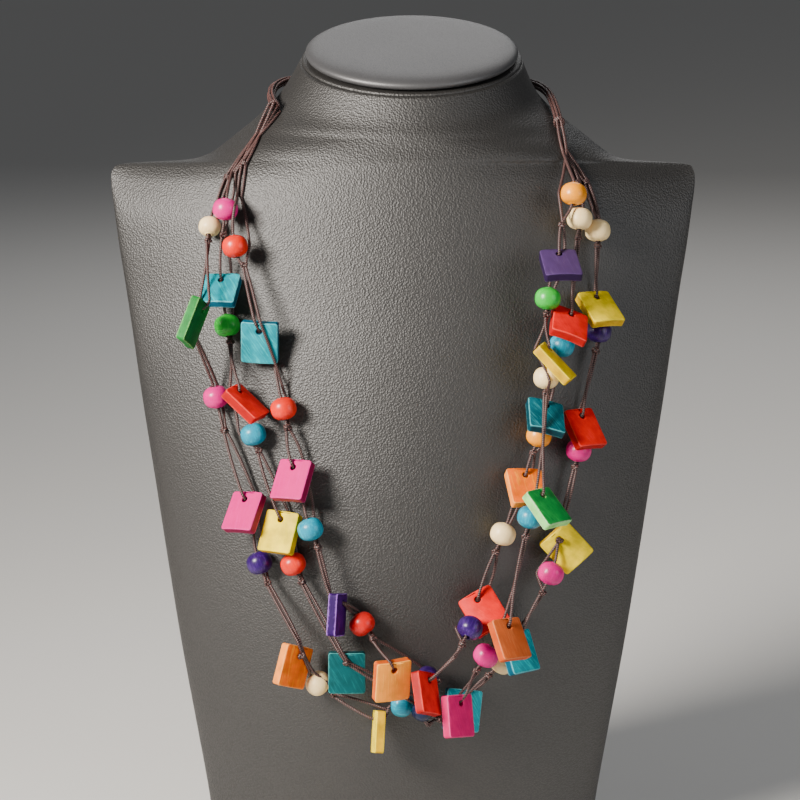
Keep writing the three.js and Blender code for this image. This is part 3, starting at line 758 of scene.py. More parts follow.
def wood_finish(name, dye, streaks, edge, sawn, strengths, gloss):
    """A stained and finished wood. edge: the rim colour, partly painted light. strengths: streaks,
    slant, clouds, edge colour. gloss: roughness, varnish weight, varnish roughness, relief, sheen
    under the varnish."""
    material, m = new_material(
        name, wood="ShaderNodeGroup", rough="ShaderNodeMapRange", bump="ShaderNodeBump",
    )
    m["wood"].node_tree = stained_wood
    colours = {"Dye": dye, "Streaks": streaks, "Edge": edge, "Sawn Side": sawn}
    strength_names = ("Streak Strength", "Streak Slant", "Cloud Strength", "Edge Strength")
    roughness, varnish, varnish_roughness, relief, sheen = gloss
    set_inputs(
        m,
        wood={label: linear(*colour) for label, colour in colours.items()},
        rough={"To Min": roughness, "To Max": roughness + 0.12},
        bump={"Strength": relief, "Distance": 0.00012},
        shader={
            "Specular IOR Level": sheen, "Coat Weight": varnish, "Coat Roughness": varnish_roughness,
        },
    )
    set_inputs(m, wood=dict(zip(strength_names, strengths)))
    wire(
        material.node_tree, m,
        ("wood", "Colour", "shader", "Base Color"),
        ("wood", "Streak", "rough", "Value"),
        ("rough", "Result", "shader", "Roughness"),
        ("wood", "Height", "bump", "Height"),
        ("bump", "Normal", "shader", "Normal"),
    )
    return material


TILE_GLOSS = (0.5, 0.03, 0.3, 0.4, 0.14)
TILE_FINISHES = {
    # dye, streaks, edge (rubbed dye and painted highlight), sawn side, (streaks, slant, clouds, edge)
    "teal": ((0, 136, 150), (44, 232, 232), (140, 226, 230), (0, 84, 108), (0.5, 0.6, 0.4, 0.5)),
    # Painted shade: a darker copy of teal, for a teal tile that lies in shade.
    "petrol": ((0, 84, 98), (80, 190, 198), (110, 205, 210), (0, 54, 66), (0.45, 0.6, 0.3, 0.5)),
    "deep_teal": ((0, 76, 80), (30, 140, 142), (90, 190, 186), (0, 54, 58), (0.35, 0.5, 0.3, 0.5)),
    "forest": ((16, 134, 56), (66, 186, 92), (200, 236, 180), (140, 208, 118), (0.4, 0.3, 0.5, 0.7)),
    # Painted shade: a darker copy of forest, sawn side too, for a forest tile turned from the light.
    "grass": ((6, 84, 30), (32, 134, 58), (140, 210, 120), (16, 118, 44), (0.3, 0.2, 0.4, 0.5)),
    "rose": ((216, 0, 120), (240, 24, 156), (250, 100, 190), (132, 0, 62), (0.3, 0.1, 0.1, 0.3)),
    "magenta": ((214, 0, 104), (240, 40, 140), (240, 110, 165), (206, 14, 98), (0.4, 0.3, 0.2, 0.4)),
    "red": ((224, 14, 12), (246, 62, 48), (240, 100, 84), (168, 2, 6), (0.4, 0.5, 0.3, 0.35)),
    "tangerine": ((232, 100, 0), (255, 164, 10), (252, 190, 110), (244, 140, 50),
                  (0.6, 0.05, 0.3, 0.5)),
    "copper": ((192, 88, 36), (222, 128, 72), (226, 156, 110), (196, 78, 22), (0.4, 0.1, 0.2, 0.35)),
    "peach": ((250, 156, 48), (255, 192, 86), (255, 204, 110), (206, 84, 12), (0.4, 0.05, 0.2, 0.4)),
    "yellow": ((236, 206, 0), (248, 228, 0), (255, 240, 60), (200, 158, 0), (0.45, 0.3, 0.4, 0.3)),
    "purple": ((52, 0, 92), (104, 36, 156), (176, 120, 226), (40, 0, 76), (0.45, 0.1, 0.3, 0.8)),
    "lilac": ((70, 48, 92), (104, 84, 128), (104, 82, 132), (34, 16, 54), (0.3, 0.2, 0.2, 0.2)),
}
tile_woods = {
    colour: wood_finish(f"tile_{colour}_wood", *finish, TILE_GLOSS)
    for colour, finish in TILE_FINISHES.items()
}

tiles = [piece for strand in strands for piece in strand["pieces"] if piece["kind"] == "tile"]
for piece in tiles:
    settle_tile(piece)
    cut = random.Random(piece["node"])
    points, rim_masks, sides, faces = tile_shape(piece, cut)
    mesh = bpy.data.meshes.new(piece["node"] + "_wood")
    mesh.from_pydata(
        [MM * (piece["place"] + piece["turn"] @ point) for point in points], [], faces,
    )
    elsewhere = Vector([cut.uniform(0, BLOCK_SIZE) for _ in range(3)])
    wood_attributes(mesh, [point + elsewhere for point in points], rim_masks, sides)
    face_outwards(mesh)
    wood = tile_woods[piece.get("dye", piece["colour"])]
    piece["object"] = add_piece(mesh.name, mesh, wood, f"tile_{piece['colour']}", piece["node"])


# ---- Beads ---------------------------------------------------------------------------------------
# Turned wooden barrel beads, dyed and lacquered, bored through for the cord. The bore and its rim
# are painted darker, partly dye gathered there and partly painted shade inside the bore. The cream
# ones are only waxed.

BEAD_RADIUS, BEAD_HALF, BEAD_BORE = 5.1, 4.4, 1.25
BEAD_SIDES, BEAD_STEPS = 40, 16
BEAD_FULLNESS = 2.35                    # 2 is an ellipse, and more is a fuller barrel
BORE_SHARE = 0.06                       # of the half turn round the section, at either end

# The section of a bead from the bore's wall round the outside and back: radius, height, and share
# of the darker bore colour, dye and painted shade.
bead_section = []
for step in range(BEAD_STEPS + 1):
    angle = math.pi * (BORE_SHARE + (1 - 2 * BORE_SHARE) * step / BEAD_STEPS)
    bead_section.append((
        BEAD_RADIUS * math.sin(angle) ** (2 / BEAD_FULLNESS),
        -math.copysign(abs(math.cos(angle)) ** (2 / BEAD_FULLNESS), math.cos(angle)) * BEAD_HALF,
        0.0,
    ))
# Painted shade: the bore's wall and the ring round it take the darker bore colour.
bead_ends = [(BEAD_BORE + 0.35, 0.995, 0.55), (BEAD_BORE, 0.93, 1.0), (BEAD_BORE - 0.05, 0.6, 1.0)]
bead_section = (
    [(r, -z * BEAD_HALF, wear) for r, z, wear in bead_ends[::-1]] + bead_section
    + [(r, z * BEAD_HALF, wear) for r, z, wear in bead_ends]
)

BEAD_GLOSS = (0.4, 0.45, 0.24, 0.12, 0.2)
WAXED_GLOSS = (0.42, 0.2, 0.28, 0.2, 0.3)
BEAD_FINISHES = {
    # dye, streaks, bore rim (dye and painted shade), (streaks, slant, clouds, bore rim), gloss
    "cream": ((255, 226, 168), (242, 190, 108), (120, 62, 28), (0.4, 0, 0.1, 0.8), WAXED_GLOSS),
    "pink": ((214, 0, 124), (240, 30, 158), (110, 6, 60), (0.35, 0, 0.2, 0.7), BEAD_GLOSS),
    "coral": ((224, 30, 8), (246, 84, 44), (110, 16, 6), (0.35, 0, 0.2, 0.7), BEAD_GLOSS),
    "red": ((210, 10, 10), (240, 56, 42), (96, 6, 6), (0.3, 0, 0.2, 0.7), BEAD_GLOSS),
    "orange": ((244, 150, 0), (252, 184, 0), (140, 64, 4), (0.4, 0, 0.2, 0.7), BEAD_GLOSS),
    "green": ((36, 178, 52), (90, 214, 76), (12, 76, 20), (0.35, 0, 0.2, 0.7), BEAD_GLOSS),
    "teal": ((0, 132, 160), (20, 206, 228), (4, 62, 78), (0.5, 0, 0.3, 0.7), BEAD_GLOSS),
    "violet": ((40, 4, 82), (104, 58, 162), (14, 4, 34), (0.5, 0, 0.4, 0.7), BEAD_GLOSS),
    "navy": ((6, 20, 56), (30, 60, 104), (4, 8, 22), (0.35, 0, 0.25, 0.7), BEAD_GLOSS),
}
bead_woods = {
    colour: wood_finish(f"bead_{colour}_wood", dye, streaks, rim, dye, strengths, gloss)
    for colour, (dye, streaks, rim, strengths, gloss) in BEAD_FINISHES.items()
}


def solid_tree(*objects):
    """What a ray can meet among these pieces."""
    points, faces = [], []
    for piece in objects:
        start = len(points)
        points += [vertex.co for vertex in piece.data.vertices]
        faces += [[start + i for i in face.vertices] for face in piece.data.polygons]
    return BVHTree.FromPolygons(points, faces)


IN_FRONT = -0.4                         # metres, clear of everything


def first_met(tree, x, z):
    """How deep, in millimetres, a ray from the front first meets the solids."""
    hit = tree.ray_cast(Vector((x * MM, IN_FRONT, z * MM)), Vector((0, 1, 0)))[0]
    return hit.y / MM if hit else math.inf


for strand in strands:
    for piece in strand["pieces"]:
        if piece["kind"] != "bead":
            continue
        if "at" in piece:
            x, z = piece["at"]
            met = first_met(solid_tree(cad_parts[f"strand_{strand['name']}"]), x, z)
            piece["place"] = Vector((x, met + BEAD_RADIUS, z))
        else:
            low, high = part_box(piece["node"])
            piece["place"] = (low + high) / 2 / MM


def world_point(piece, local):
    """Where a point of a tile's own block lies."""
    return piece["place"] + piece["turn"] @ local


def stop_of(piece):
    """Where the threaded cord passes through a piece."""
    return world_point(piece, piece["hole"]) if piece["kind"] == "tile" else piece["place"]


BEHIND_FIRST = 2                        # how much deeper a strand lies before its first bead

for strand in strands:
    stops = [Vector((strand["via"][-1][0], 0, strand["via"][-1][1]))]
    stops += [stop_of(piece) for piece in strand["pieces"]] + [Vector(strand["meet"])]
    stops[0].y = stops[1].y + BEHIND_FIRST
    for i, piece in enumerate(strand["pieces"]):
        piece["axis"] = (stops[i + 2] - stops[i]).normalized()
        if piece["kind"] != "bead":
            continue
        cut = random.Random(piece["node"])
        upright = piece["axis"].to_track_quat("Z", "Y").to_matrix()
        spin = Matrix.Rotation(cut.uniform(0, 2 * math.pi), 3, "Z")
        size = cut.uniform(0.975, 1.0) * piece.get("size", 1)
        points, rim_masks = [], []
        for r, along, wear in bead_section:
            for k in range(BEAD_SIDES):
                angle = 2 * math.pi * k / BEAD_SIDES
                points.append(size * Vector((r * math.cos(angle), r * math.sin(angle), along)))
                rim_masks.append(wear)
        rows = len(bead_section)
        faces = [
            (a * BEAD_SIDES + k, a * BEAD_SIDES + (k + 1) % BEAD_SIDES,
             ((a + 1) % rows) * BEAD_SIDES + (k + 1) % BEAD_SIDES, ((a + 1) % rows) * BEAD_SIDES + k)
            for a in range(rows) for k in range(BEAD_SIDES)
        ]
        mesh = bpy.data.meshes.new(piece["node"] + "_wood")
        turned = [MM * (piece["place"] + upright @ spin @ point) for point in points]
        mesh.from_pydata(turned, [], faces)
        elsewhere = Vector([cut.uniform(0, BLOCK_SIZE) for _ in range(3)])
        wood_attributes(mesh, [point + elsewhere for point in points], rim_masks, [0] * len(points))
        face_outwards(mesh)
        stands_for = [piece["node"]] if piece["node"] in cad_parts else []
        piece["object"] = add_piece(
            mesh.name, mesh, bead_woods[piece["colour"]], f"bead_{piece['colour']}", *stands_for,
        )


# ---- Cords ---------------------------------------------------------------------------------------
# Each strand is two waxed cords of two hard-twisted plies. One is threaded through every bead, and
# the other goes round it. A small knot below each bead holds the two together. The weight of what
# they carry pulls them taut over the bust and over what lies beneath them.

PLIES = 2
CORD_RADIUS = 0.66
CORD_CLEAR = 0.72                       # from a cord's middle to what it lies on
CORD_APART = 0.78                       # from the middle of a strand to each of its cords
RUN_STEP = 1.0
NEXT_TO_NOTHING = 1e-6

# A twisted cord swept along polylines: its section has a lobe for each ply and turns as it goes.
# It stores how deep in a valley between plies each point lies, and the cord's material paints shade
# there.
twisted_cord = new_group(
    "twisted_cord", "GeometryNodeTree",
    [
        ("Route", "NodeSocketGeometry", None),
        ("Radius", "NodeSocketFloat", CORD_RADIUS * MM),
        ("Turn Length", "NodeSocketFloat", 1.65 * MM),
        ("Ply Depth", "NodeSocketFloat", 0.26),
        ("Step", "NodeSocketFloat", 0.2 * MM),
        ("Cord Wax", "NodeSocketMaterial", None),
    ],
    [("Cord", "NodeSocketGeometry")],
)
n = add_nodes(
    twisted_cord, given="NodeGroupInput", out="NodeGroupOutput", line="GeometryNodeMeshToCurve",
    even="GeometryNodeResampleCurve", along="GeometryNodeSplineParameter", per_turn="ShaderNodeMath",
    full_turns="ShaderNodeMath", tilt="GeometryNodeSetCurveTilt",
    ring="GeometryNodeCurvePrimitiveCircle",
    around="GeometryNodeSplineParameter", lobes="ShaderNodeMath", lobe="ShaderNodeMath",
    valley="ShaderNodeMapRange", cut="ShaderNodeMath", shrink="ShaderNodeMath",
    where="GeometryNodeInputPosition", scaled="ShaderNodeVectorMath",
    shaped="GeometryNodeSetPosition", marked="GeometryNodeStoreNamedAttribute",
    sweep="GeometryNodeCurveToMesh", smooth="GeometryNodeSetShadeSmooth",
    real="GeometryNodeRealizeInstances", wax="GeometryNodeSetMaterial",
)
n["even"].mode = "LENGTH"
n["per_turn"].operation = "DIVIDE"
n["full_turns"].operation = "MULTIPLY"
n["ring"].mode = "RADIUS"
n["lobes"].operation = "MULTIPLY"
n["lobe"].operation = "COSINE"
n["cut"].operation = "MULTIPLY"
n["shrink"].operation = "SUBTRACT"
n["scaled"].operation = "SCALE"
n["marked"].data_type = "FLOAT"
n["marked"].domain = "POINT"
set_inputs(
    n,
    full_turns={1: 2 * math.pi},
    ring={"Resolution": 4 * PLIES},
    lobes={1: 2 * math.pi * PLIES},
    valley={"From Min": 1.0, "From Max": -1.0},
    shrink={0: 1.0},
    marked={"Name": "valley"},
    sweep={"Fill Caps": True},
)
wire(
    twisted_cord, n,
    ("given", "Route", "line", "Mesh"),
    ("line", "Curve", "even", "Curve"),
    ("given", "Step", "even", "Length"),
    ("along", "Length", "per_turn", 0),
    ("given", "Turn Length", "per_turn", 1),
    ("per_turn", 0, "full_turns", 0),
    ("even", "Curve", "tilt", "Curve"),
    ("full_turns", 0, "tilt", "Tilt"),
    ("given", "Radius", "ring", "Radius"),
    ("around", "Factor", "lobes", 0),
    ("lobes", 0, "lobe", 0),
    ("lobe", 0, "valley", "Value"),
    ("valley", "Result", "cut", 0),
    ("given", "Ply Depth", "cut", 1),
    ("cut", 0, "shrink", 1),
    ("where", "Position", "scaled", 0),
    ("shrink", 0, "scaled", "Scale"),
    ("ring", "Curve", "marked", "Geometry"),
    ("valley", "Result", "marked", "Value"),
    ("marked", "Geometry", "shaped", "Geometry"),
    ("scaled", 0, "shaped", "Position"),
    ("tilt", "Curve", "sweep", "Curve"),
    ("shaped", "Geometry", "sweep", "Profile Curve"),
    ("sweep", "Mesh", "smooth", "Geometry"),
    ("smooth", "Geometry", "real", "Geometry"),
    ("real", "Geometry", "wax", "Geometry"),
    ("given", "Cord Wax", "wax", "Material"),
    ("wax", "Geometry", "out", "Cord"),
)

# Brown waxed cord, a little fuzzy. Its colour is painted shade: nearly black in the valleys between
# the plies and paler on the plies.
cord_wax, m = new_material(
    "cord_wax", valley="ShaderNodeAttribute", tone="ShaderNodeValToRGB", place="ShaderNodeTexCoord",
    fuzz="ShaderNodeTexNoise", mixed="ShaderNodeMath", bump="ShaderNodeBump",
)
m["valley"].attribute_name = "valley"
m["mixed"].operation = "MULTIPLY_ADD"
# Painted shade: the valleys between the plies are nearly black.
set_ramp(m["tone"], (0.22, linear(106, 72, 68)), (0.95, linear(9, 4, 5)))
set_inputs(
    m,
    fuzz={"Scale": 1800, "Detail": 2},
    mixed={1: 0.35},
    bump={"Strength": 0.3, "Distance": 0.0001},
    shader={"Roughness": 0.42, "Specular IOR Level": 0.6},
)
wire(
    cord_wax.node_tree, m,
    ("place", "Object", "fuzz", "Vector"),
    ("fuzz", "Fac", "mixed", 0),
    ("valley", "Fac", "mixed", 2),
    ("mixed", 0, "tone", "Fac"),
    ("tone", "Color", "shader", "Base Color"),
    ("fuzz", "Fac", "bump", "Height"),
    ("bump", "Normal", "shader", "Normal"),
)


def line_mesh(name, lines):
    """A mesh of plain edges along lines of points given in millimetres."""
    points, edges = [], []
    for line in lines:
        start = len(points)
        points += [MM * point for point in line]
        edges += [(start + i, start + i + 1) for i in range(len(line) - 1)]
    mesh = bpy.data.meshes.new(name)
    mesh.from_pydata(points, edges, [])
    return mesh


def grown(name, carrier, group, values):
    """The plain mesh that a node group makes from a carrier mesh."""
    holder = bpy.data.objects.new(name, carrier)
    bpy.context.scene.collection.objects.link(holder)
    growth = holder.modifiers.new("growth", "NODES")
    growth.node_group = group
    for item in group.interface.items_tree:
        if item.item_type == "SOCKET" and item.in_out == "INPUT" and item.name in values:
            growth[item.identifier] = values[item.name]
    seen = holder.evaluated_get(bpy.context.evaluated_depsgraph_get())
    mesh = bpy.data.meshes.new_from_object(seen)
    mesh.name = name
    holder.modifiers.remove(growth)
    bpy.data.objects.remove(holder)
    return mesh


def rest_depth(tree, x, z):
    """How deep a cord's middle may lie at a place, on what is already there. It is felt for under
    the cord and at six places round it."""
    depth = first_met(tree, x, z) - CORD_CLEAR
    for k in range(6):
        angle = math.pi * k / 3
        beside = first_met(
            tree, x + CORD_CLEAR * math.cos(angle), z + CORD_CLEAR * math.sin(angle)
        )
        depth = min(depth, beside - CORD_CLEAR / 3)
    return depth


def taut_run(tree, start, end, bow=0.0):
    """Points from start to end of a cord pulled taut over the solids, bowed a little sideways."""
    run = end - start
    count = max(2, math.ceil(run.length / RUN_STEP))
    sideways = Vector((run.z, 0, -run.x))
    sideways = sideways.normalized() if sideways.length > NEXT_TO_NOTHING else Vector((1, 0, 0))
    points = []
    for i in range(count + 1):
        t = i / count
        point = start + run * t + sideways * bow * math.sin(math.pi * t)
        if 0 < i < count:
            point.y = min(point.y, rest_depth(tree, point.x, point.z))
        points.append(point)
    # It is held only where it stands proud of the straight way between the points beside.
    held = []
    for i, point in enumerate(points):
        while len(held) > 1:
            a, b = held[-2], held[-1]
            rise = (points[a].y - points[b].y) * (i - a) - (points[a].y - point.y) * (b - a)
            if rise > NEXT_TO_NOTHING:
                break
            held.pop()
        held.append(i)
    for a, b in zip(held, held[1:]):
        for i in range(a + 1, b):
            points[i].y = points[a].y + (points[b].y - points[a].y) * (i - a) / (b - a)
    return points[1:]


def past_edge(piece, target, depth, sideways=0.0):
    """Where a cord from the hole towards target crosses the tile's edge, at a depth from its face."""
    local = piece["turn"].transposed() @ (target - piece["place"])
    run = Vector((local.x - piece["hole"].x, 0, local.z - piece["hole"].z)).normalized()
    room_x = piece["half"].x / max(abs(run.x), NEXT_TO_NOTHING)
    end_z = piece["half"].z - piece["hole"].z if run.z > 0 else piece["half"].z + piece["hole"].z
    reach = min(room_x, end_z / max(abs(run.z), NEXT_TO_NOTHING)) + CORD_CLEAR
    crossing = piece["hole"] + run * reach + Vector((sideways, 0, 0))
    return world_point(piece, Vector((crossing.x, depth, crossing.z)))


def local_depth(piece, point):
    """How far behind a tile's face a point lies."""
    return (piece["turn"].transposed() @ (point - piece["place"])).y


TURN_IN = 0.3                           # how much nearer the tile a cord is where it turns in


def through_tile(piece, before, after, sideways=0.0):
    """The threaded cord's way over the edge, into the hole and away behind, or the other way."""
    face, back = -CORD_CLEAR, piece["back"] + CORD_CLEAR
    from_behind = piece.get("from_behind", False)
    outer, inner = (after, before) if from_behind else (before, after)
    shift = Vector((sideways, 0, 0))
    way = [
        world_point(piece, piece["hole"] + shift + Vector((0, depth, 0)))
        for depth in (face + TURN_IN, TILE_THICKNESS / 2, back - TURN_IN)
    ]
    if local_depth(piece, outer) > face:
        way.insert(0, past_edge(piece, outer, face, sideways))
    if local_depth(piece, inner) < back:
        way.append(past_edge(piece, inner, back, sideways))
    return way[::-1] if from_behind else way


def over_tile(piece, before, after, sideways):
    """A cord's way over a tile's face, held in front of the hole by a knot."""
    way = [world_point(piece, piece["hole"] + Vector((sideways, -CORD_CLEAR, 0)))]
    if local_depth(piece, before) > -CORD_CLEAR:
        way.insert(0, past_edge(piece, before, -CORD_CLEAR, sideways))
    if local_depth(piece, after) > -CORD_CLEAR:
        way.append(past_edge(piece, after, -CORD_CLEAR, sideways))
    return way


def behind_tile(piece, before, after, sideways):
    """The second cord's way behind a tile, or over its face where the strand lies over it."""
    over = piece.get("over", False)
    depth = -CORD_CLEAR if over else piece["back"] + CORD_CLEAR
    way = []
    for target in (before, after):
        lies_free = local_depth(piece, target) < depth if over else local_depth(piece, target) > depth
        if not lies_free:
            way.append(past_edge(piece, target, depth, sideways))
    return way


# the second cord's place beside a bead: across, deep, and the room it leaves, in bead radii
PASSES = {
    "behind": (0.28, 1.0, 0.13), "left": (-1.0, 0.2, 0.13), "right": (1.0, 0.2, 0.13),
    "front": (0.2, -1.0, 0.13), "above": (0.85, -0.5, 0.16),
}


def beside_bead(piece):
    """Where the second cord passes a bead."""
    across, deep, room = PASSES[piece.get("past", "behind")]
    reach = BEAD_RADIUS * piece.get("size", 1) * (1 + room)
    return piece["place"] + Vector((across * reach, deep * reach, 0))


def eased(points, passes=2):
    """The same line with its corners eased."""
    for _ in range(passes):
        points = [points[0]] + [
            (a + 2 * b + c) / 4 for a, b, c in zip(points, points[1:], points[2:])
        ] + [points[-1]]
    return points


WRAP_HALF = 1.5                         # half the length of the wrap beside the neck
GAP = 0.3                               # between the wrap and the cords on either side
WRAP_SPACING = 2.2                      # from strand to strand where they leave the wrap
NECK_REST = 4.5                         # from the neck's surface to the middle of the bundle
# The bundle's way round the neck, from the left wrap past the nape to the right wrap: height, degrees
NECK_ROUTE = [
    (310, 200), (311.5, 186), (312, 172), (311.5, 158), (310.5, 144), (309.5, 130), (309, 116),
    (309, 103), (309, 90), (309, 77), (309, 64), (309.5, 50), (310, 36), (310.5, 22), (310.5, 6),
    (308, -10), (302.5, -24),
]


def beside_neck(z, degrees, gap):
    """A point standing off the neck's oval by a gap, at a height and a turn about it."""
    row = next(i for i, level in enumerate(BUST_LEVELS) if level[0] >= z)
    low, high = BUST_LEVELS[row - 1], BUST_LEVELS[row]
    t = (z - low[0]) / (high[0] - low[0])
    level = [a + (b - a) * t for a, b in zip(low, high)]
    across, bulge = math.cos(math.radians(degrees)), math.sin(math.radians(degrees))
    front, back = level[2] + level[4] * across**2, level[3] - level[5] * across**2
    reach = (front + back) / 2 + bulge * (back - front) / 2 - NECK_AXIS_Y
    lean = math.radians(level[7])
    point = Vector((
        level[8] + level[1] * across,
        NECK_AXIS_Y + reach * math.cos(lean),
        level[0] + reach * math.sin(lean),
    ))
    outward = Vector((point.x, point.y - NECK_AXIS_Y, 0)).normalized()
    return point + outward * gap


neck_route = [beside_neck(z, degrees, NECK_REST) for z, degrees in NECK_ROUTE]
# where each wrap sits, and which way the bundle runs there
wraps = {
    "left": (neck_route[0], (neck_route[0] - neck_route[1]).normalized()),
    "right": (neck_route[-1], (neck_route[-1] - neck_route[-2]).normalized()),
}


def wrap_exit(strand):
    """Where a strand leaves the wrap beside the neck. The strands lie there side by side."""
    middle, run = wraps[strand["name"].split("_")[1]]
    across = (Vector((0, 1, 0)) - run * run.y).normalized()
    return middle + run * (WRAP_HALF + 2 * GAP) + across * strand["rank"] * WRAP_SPACING


laid_first = [piece for strand in strands for piece in strand["pieces"] if piece.get("first")]
underneath = [bpy.data.objects["bust_skin"]]
knot_spots = {}

BEAD_LEAD = 0.5                         # how far past a bead's end a cord keeps to its axis
KNOT_BELOW = 0.8                        # the least from there to the middle of its knot
KNOT_SPREAD = 0.5                       # how far from the middle of a knot each cord enters it
HOLE_SPREAD = 0.5                       # the same for two cords at one hole
SECOND_ASIDE = 2.0                      # how far beside the hole the second cord passes a tile
KNOT_PROUD = 1.0                        # how far before a tile's face its knot sits

for strand in strands:
    others = [piece["object"] for piece in laid_first if piece not in strand["pieces"]]
    tree = solid_tree(*underneath, *others)
    slack = random.Random(strand["name"])
    pieces = strand["pieces"]
    knots = []
    threaded, second = [], []

    def lie_to(line, point, bow=0.0):
        """Takes a cord on to a point, over what lies beneath it."""
        line.extend(taut_run(tree, line[-1], point, bow))

    start = wrap_exit(strand)
    across = Vector((CORD_APART, 0, 0))
    threaded.append(start - across)
    second.append(start + across)
    for x, z in strand["via"]:
        spot = Vector((x, rest_depth(tree, x, z), z))
        lie_to(threaded, spot - across, 0.2)
        lie_to(second, spot + across, -0.2)
    for i, piece in enumerate(pieces):
        place = piece["place"]
        if i + 1 < len(pieces):
            following = stop_of(pieces[i + 1])
        else:
            following = Vector(strand["meet"])
        if piece["kind"] == "bead":
            reach = BEAD_HALF + BEAD_LEAD
            entry, leave = place - piece["axis"] * reach, place + piece["axis"] * reach
            lie_to(threaded, entry, slack.uniform(0.0, 0.5))
            threaded.append(leave)
            lie_to(second, beside_bead(piece), slack.uniform(-0.7, -0.1))
            run = (following - leave).normalized()
            spot = leave + run * (KNOT_BELOW + piece.get("knot", 2.0))
            spot.x += piece.get("aside", 0)
            spot.y = min(spot.y, rest_depth(tree, spot.x, spot.z))
            side = Vector((run.z, 0, -run.x)).normalized() * KNOT_SPREAD
            lie_to(threaded, spot + side)
            lie_to(second, spot - side)
            knots.append((spot, run))
            continue
        both = piece.get("from_behind", False)
        for line, sign, sideways in (
            (threaded, 1, -HOLE_SPREAD if both else 0.0),
            (second, -1, HOLE_SPREAD if both else SECOND_ASIDE),
        ):
            bow = slack.uniform(0.1, 0.7) * sign
            if piece.get("knotted") and not both:
                way = over_tile(piece, line[-1], following, -HOLE_SPREAD * sign)
            elif line is threaded or both:
                way = through_tile(piece, line[-1], following, sideways)
            else:
                way = behind_tile(piece, line[-1], following, sideways)
            if way:
                lie_to(line, way[0], bow)
                line.extend(way[1:])
        if piece.get("knotted"):
            spot = world_point(piece, piece["hole"] - Vector((0, KNOT_PROUD, 0)))
            knots.append((spot, piece["axis"]))
    meet = Vector(strand["meet"])
    for line, side in ((threaded, -1), (second, 1)):
        lie_to(line, meet + Vector((0, 0, side * KNOT_SPREAD)))
    knot_spots[strand["name"]] = knots
    strand["lines"] = [eased(threaded), eased(second)]

    node = "thread_" if strand["name"].startswith("inner") else "strand_"
    mesh = grown(
        f"cords_{strand['name']}", line_mesh("cord_routes", strand["lines"]), twisted_cord,
        {"Cord Wax": cord_wax},
    )
    add_piece(mesh.name, mesh, cord_wax, "waxed_cord", node + strand["name"])
    underneath += [piece["object"] for piece in pieces if piece not in laid_first]


# ---- Knots along the strands ---------------------------------------------------------------------
# An overhand knot of the strand's two cords below each bead, pulled tight, and one in front of the
# hole of a few tiles.

KNOT_SCALE = 0.4                        # the knot's line reaches 3 times this from its middle
KNOT_CORD = 0.6                         # radius of the cord in it
KNOT_STEPS = 36

knots_on_cords = new_group(
    "knots_on_cords", "GeometryNodeTree",
    [
        ("Spots", "NodeSocketGeometry", None),
        ("Knot Form", "NodeSocketObject", None),
        ("Size Spread", "NodeSocketFloat", 0.12),
        ("Seed", "NodeSocketInt", 5),
        ("Cord Wax", "NodeSocketMaterial", None),
    ],
    [("Knots", "NodeSocketGeometry")],
)
n = add_nodes(
    knots_on_cords, given="NodeGroupInput", out="NodeGroupOutput", form="GeometryNodeObjectInfo",
    run="GeometryNodeInputNamedAttribute", aim="FunctionNodeAlignRotationToVector",
    spin="FunctionNodeRandomValue", turned="FunctionNodeRotateRotation",
    spun="FunctionNodeEulerToRotation", spin_axis="ShaderNodeCombineXYZ",
    size="FunctionNodeRandomValue", least="ShaderNodeMath", most="ShaderNodeMath",
    points="GeometryNodeMeshToPoints", placed="GeometryNodeInstanceOnPoints",
    real="GeometryNodeRealizeInstances", wax="GeometryNodeSetMaterial",
)
n["run"].data_type = "FLOAT_VECTOR"
n["aim"].axis = "Z"
n["spin"].data_type = "FLOAT"
n["size"].data_type = "FLOAT"
n["turned"].rotation_space = "LOCAL"
n["least"].operation = "SUBTRACT"
n["most"].operation = "ADD"
set_inputs(
    n,
    run={"Name": "run"},
    spin={"Max": 2 * math.pi},
    least={0: 1.0},
    most={0: 1.0},
)

wire(
    knots_on_cords, n,
    ("given", "Spots", "points", "Mesh"),
    ("points", "Points", "placed", "Points"),
    ("given", "Knot Form", "form", "Object"),
    ("form", "Geometry", "placed", "Instance"),
    ("run", "Attribute", "aim", "Vector"),
    ("aim", "Rotation", "turned", "Rotation"),
    ("given", "Seed", "spin", "Seed"),
    ("spin", "Value", "spin_axis", "Z"),
    ("spin_axis", 0, "spun", "Euler"),
    ("spun", "Rotation", "turned", "Rotate By"),
    ("turned", "Rotation", "placed", "Rotation"),
    ("given", "Size Spread", "least", 1),
    ("given", "Size Spread", "most", 1),
    ("least", 0, "size", "Min"),
    ("most", 0, "size", "Max"),
    ("given", "Seed", "size", "Seed"),
    ("size", "Value", "placed", "Scale"),
    ("placed", "Instances", "real", "Geometry"),
    ("real", "Geometry", "wax", "Geometry"),
    ("given", "Cord Wax", "wax", "Material"),
    ("wax", "Geometry", "out", "Knots"),
)

# A trefoil, drawn tight.
knot_line = []
for i in range(KNOT_STEPS + 1):
    t = 2 * math.pi * i / KNOT_STEPS
    knot_line.append(KNOT_SCALE * Vector((
        math.sin(t) + 2 * math.sin(2 * t), math.cos(t) - 2 * math.cos(2 * t), -1.5 * math.sin(3 * t),
    )))
knot_mesh = grown(
    "knot_form", line_mesh("knot_route", [knot_line]), twisted_cord,
    {"Radius": KNOT_CORD * MM, "Step": 0.3 * MM, "Cord Wax": cord_wax},
)
knot_form = bpy.data.objects.new("knot_form", knot_mesh)
bpy.context.scene.collection.objects.link(knot_form)

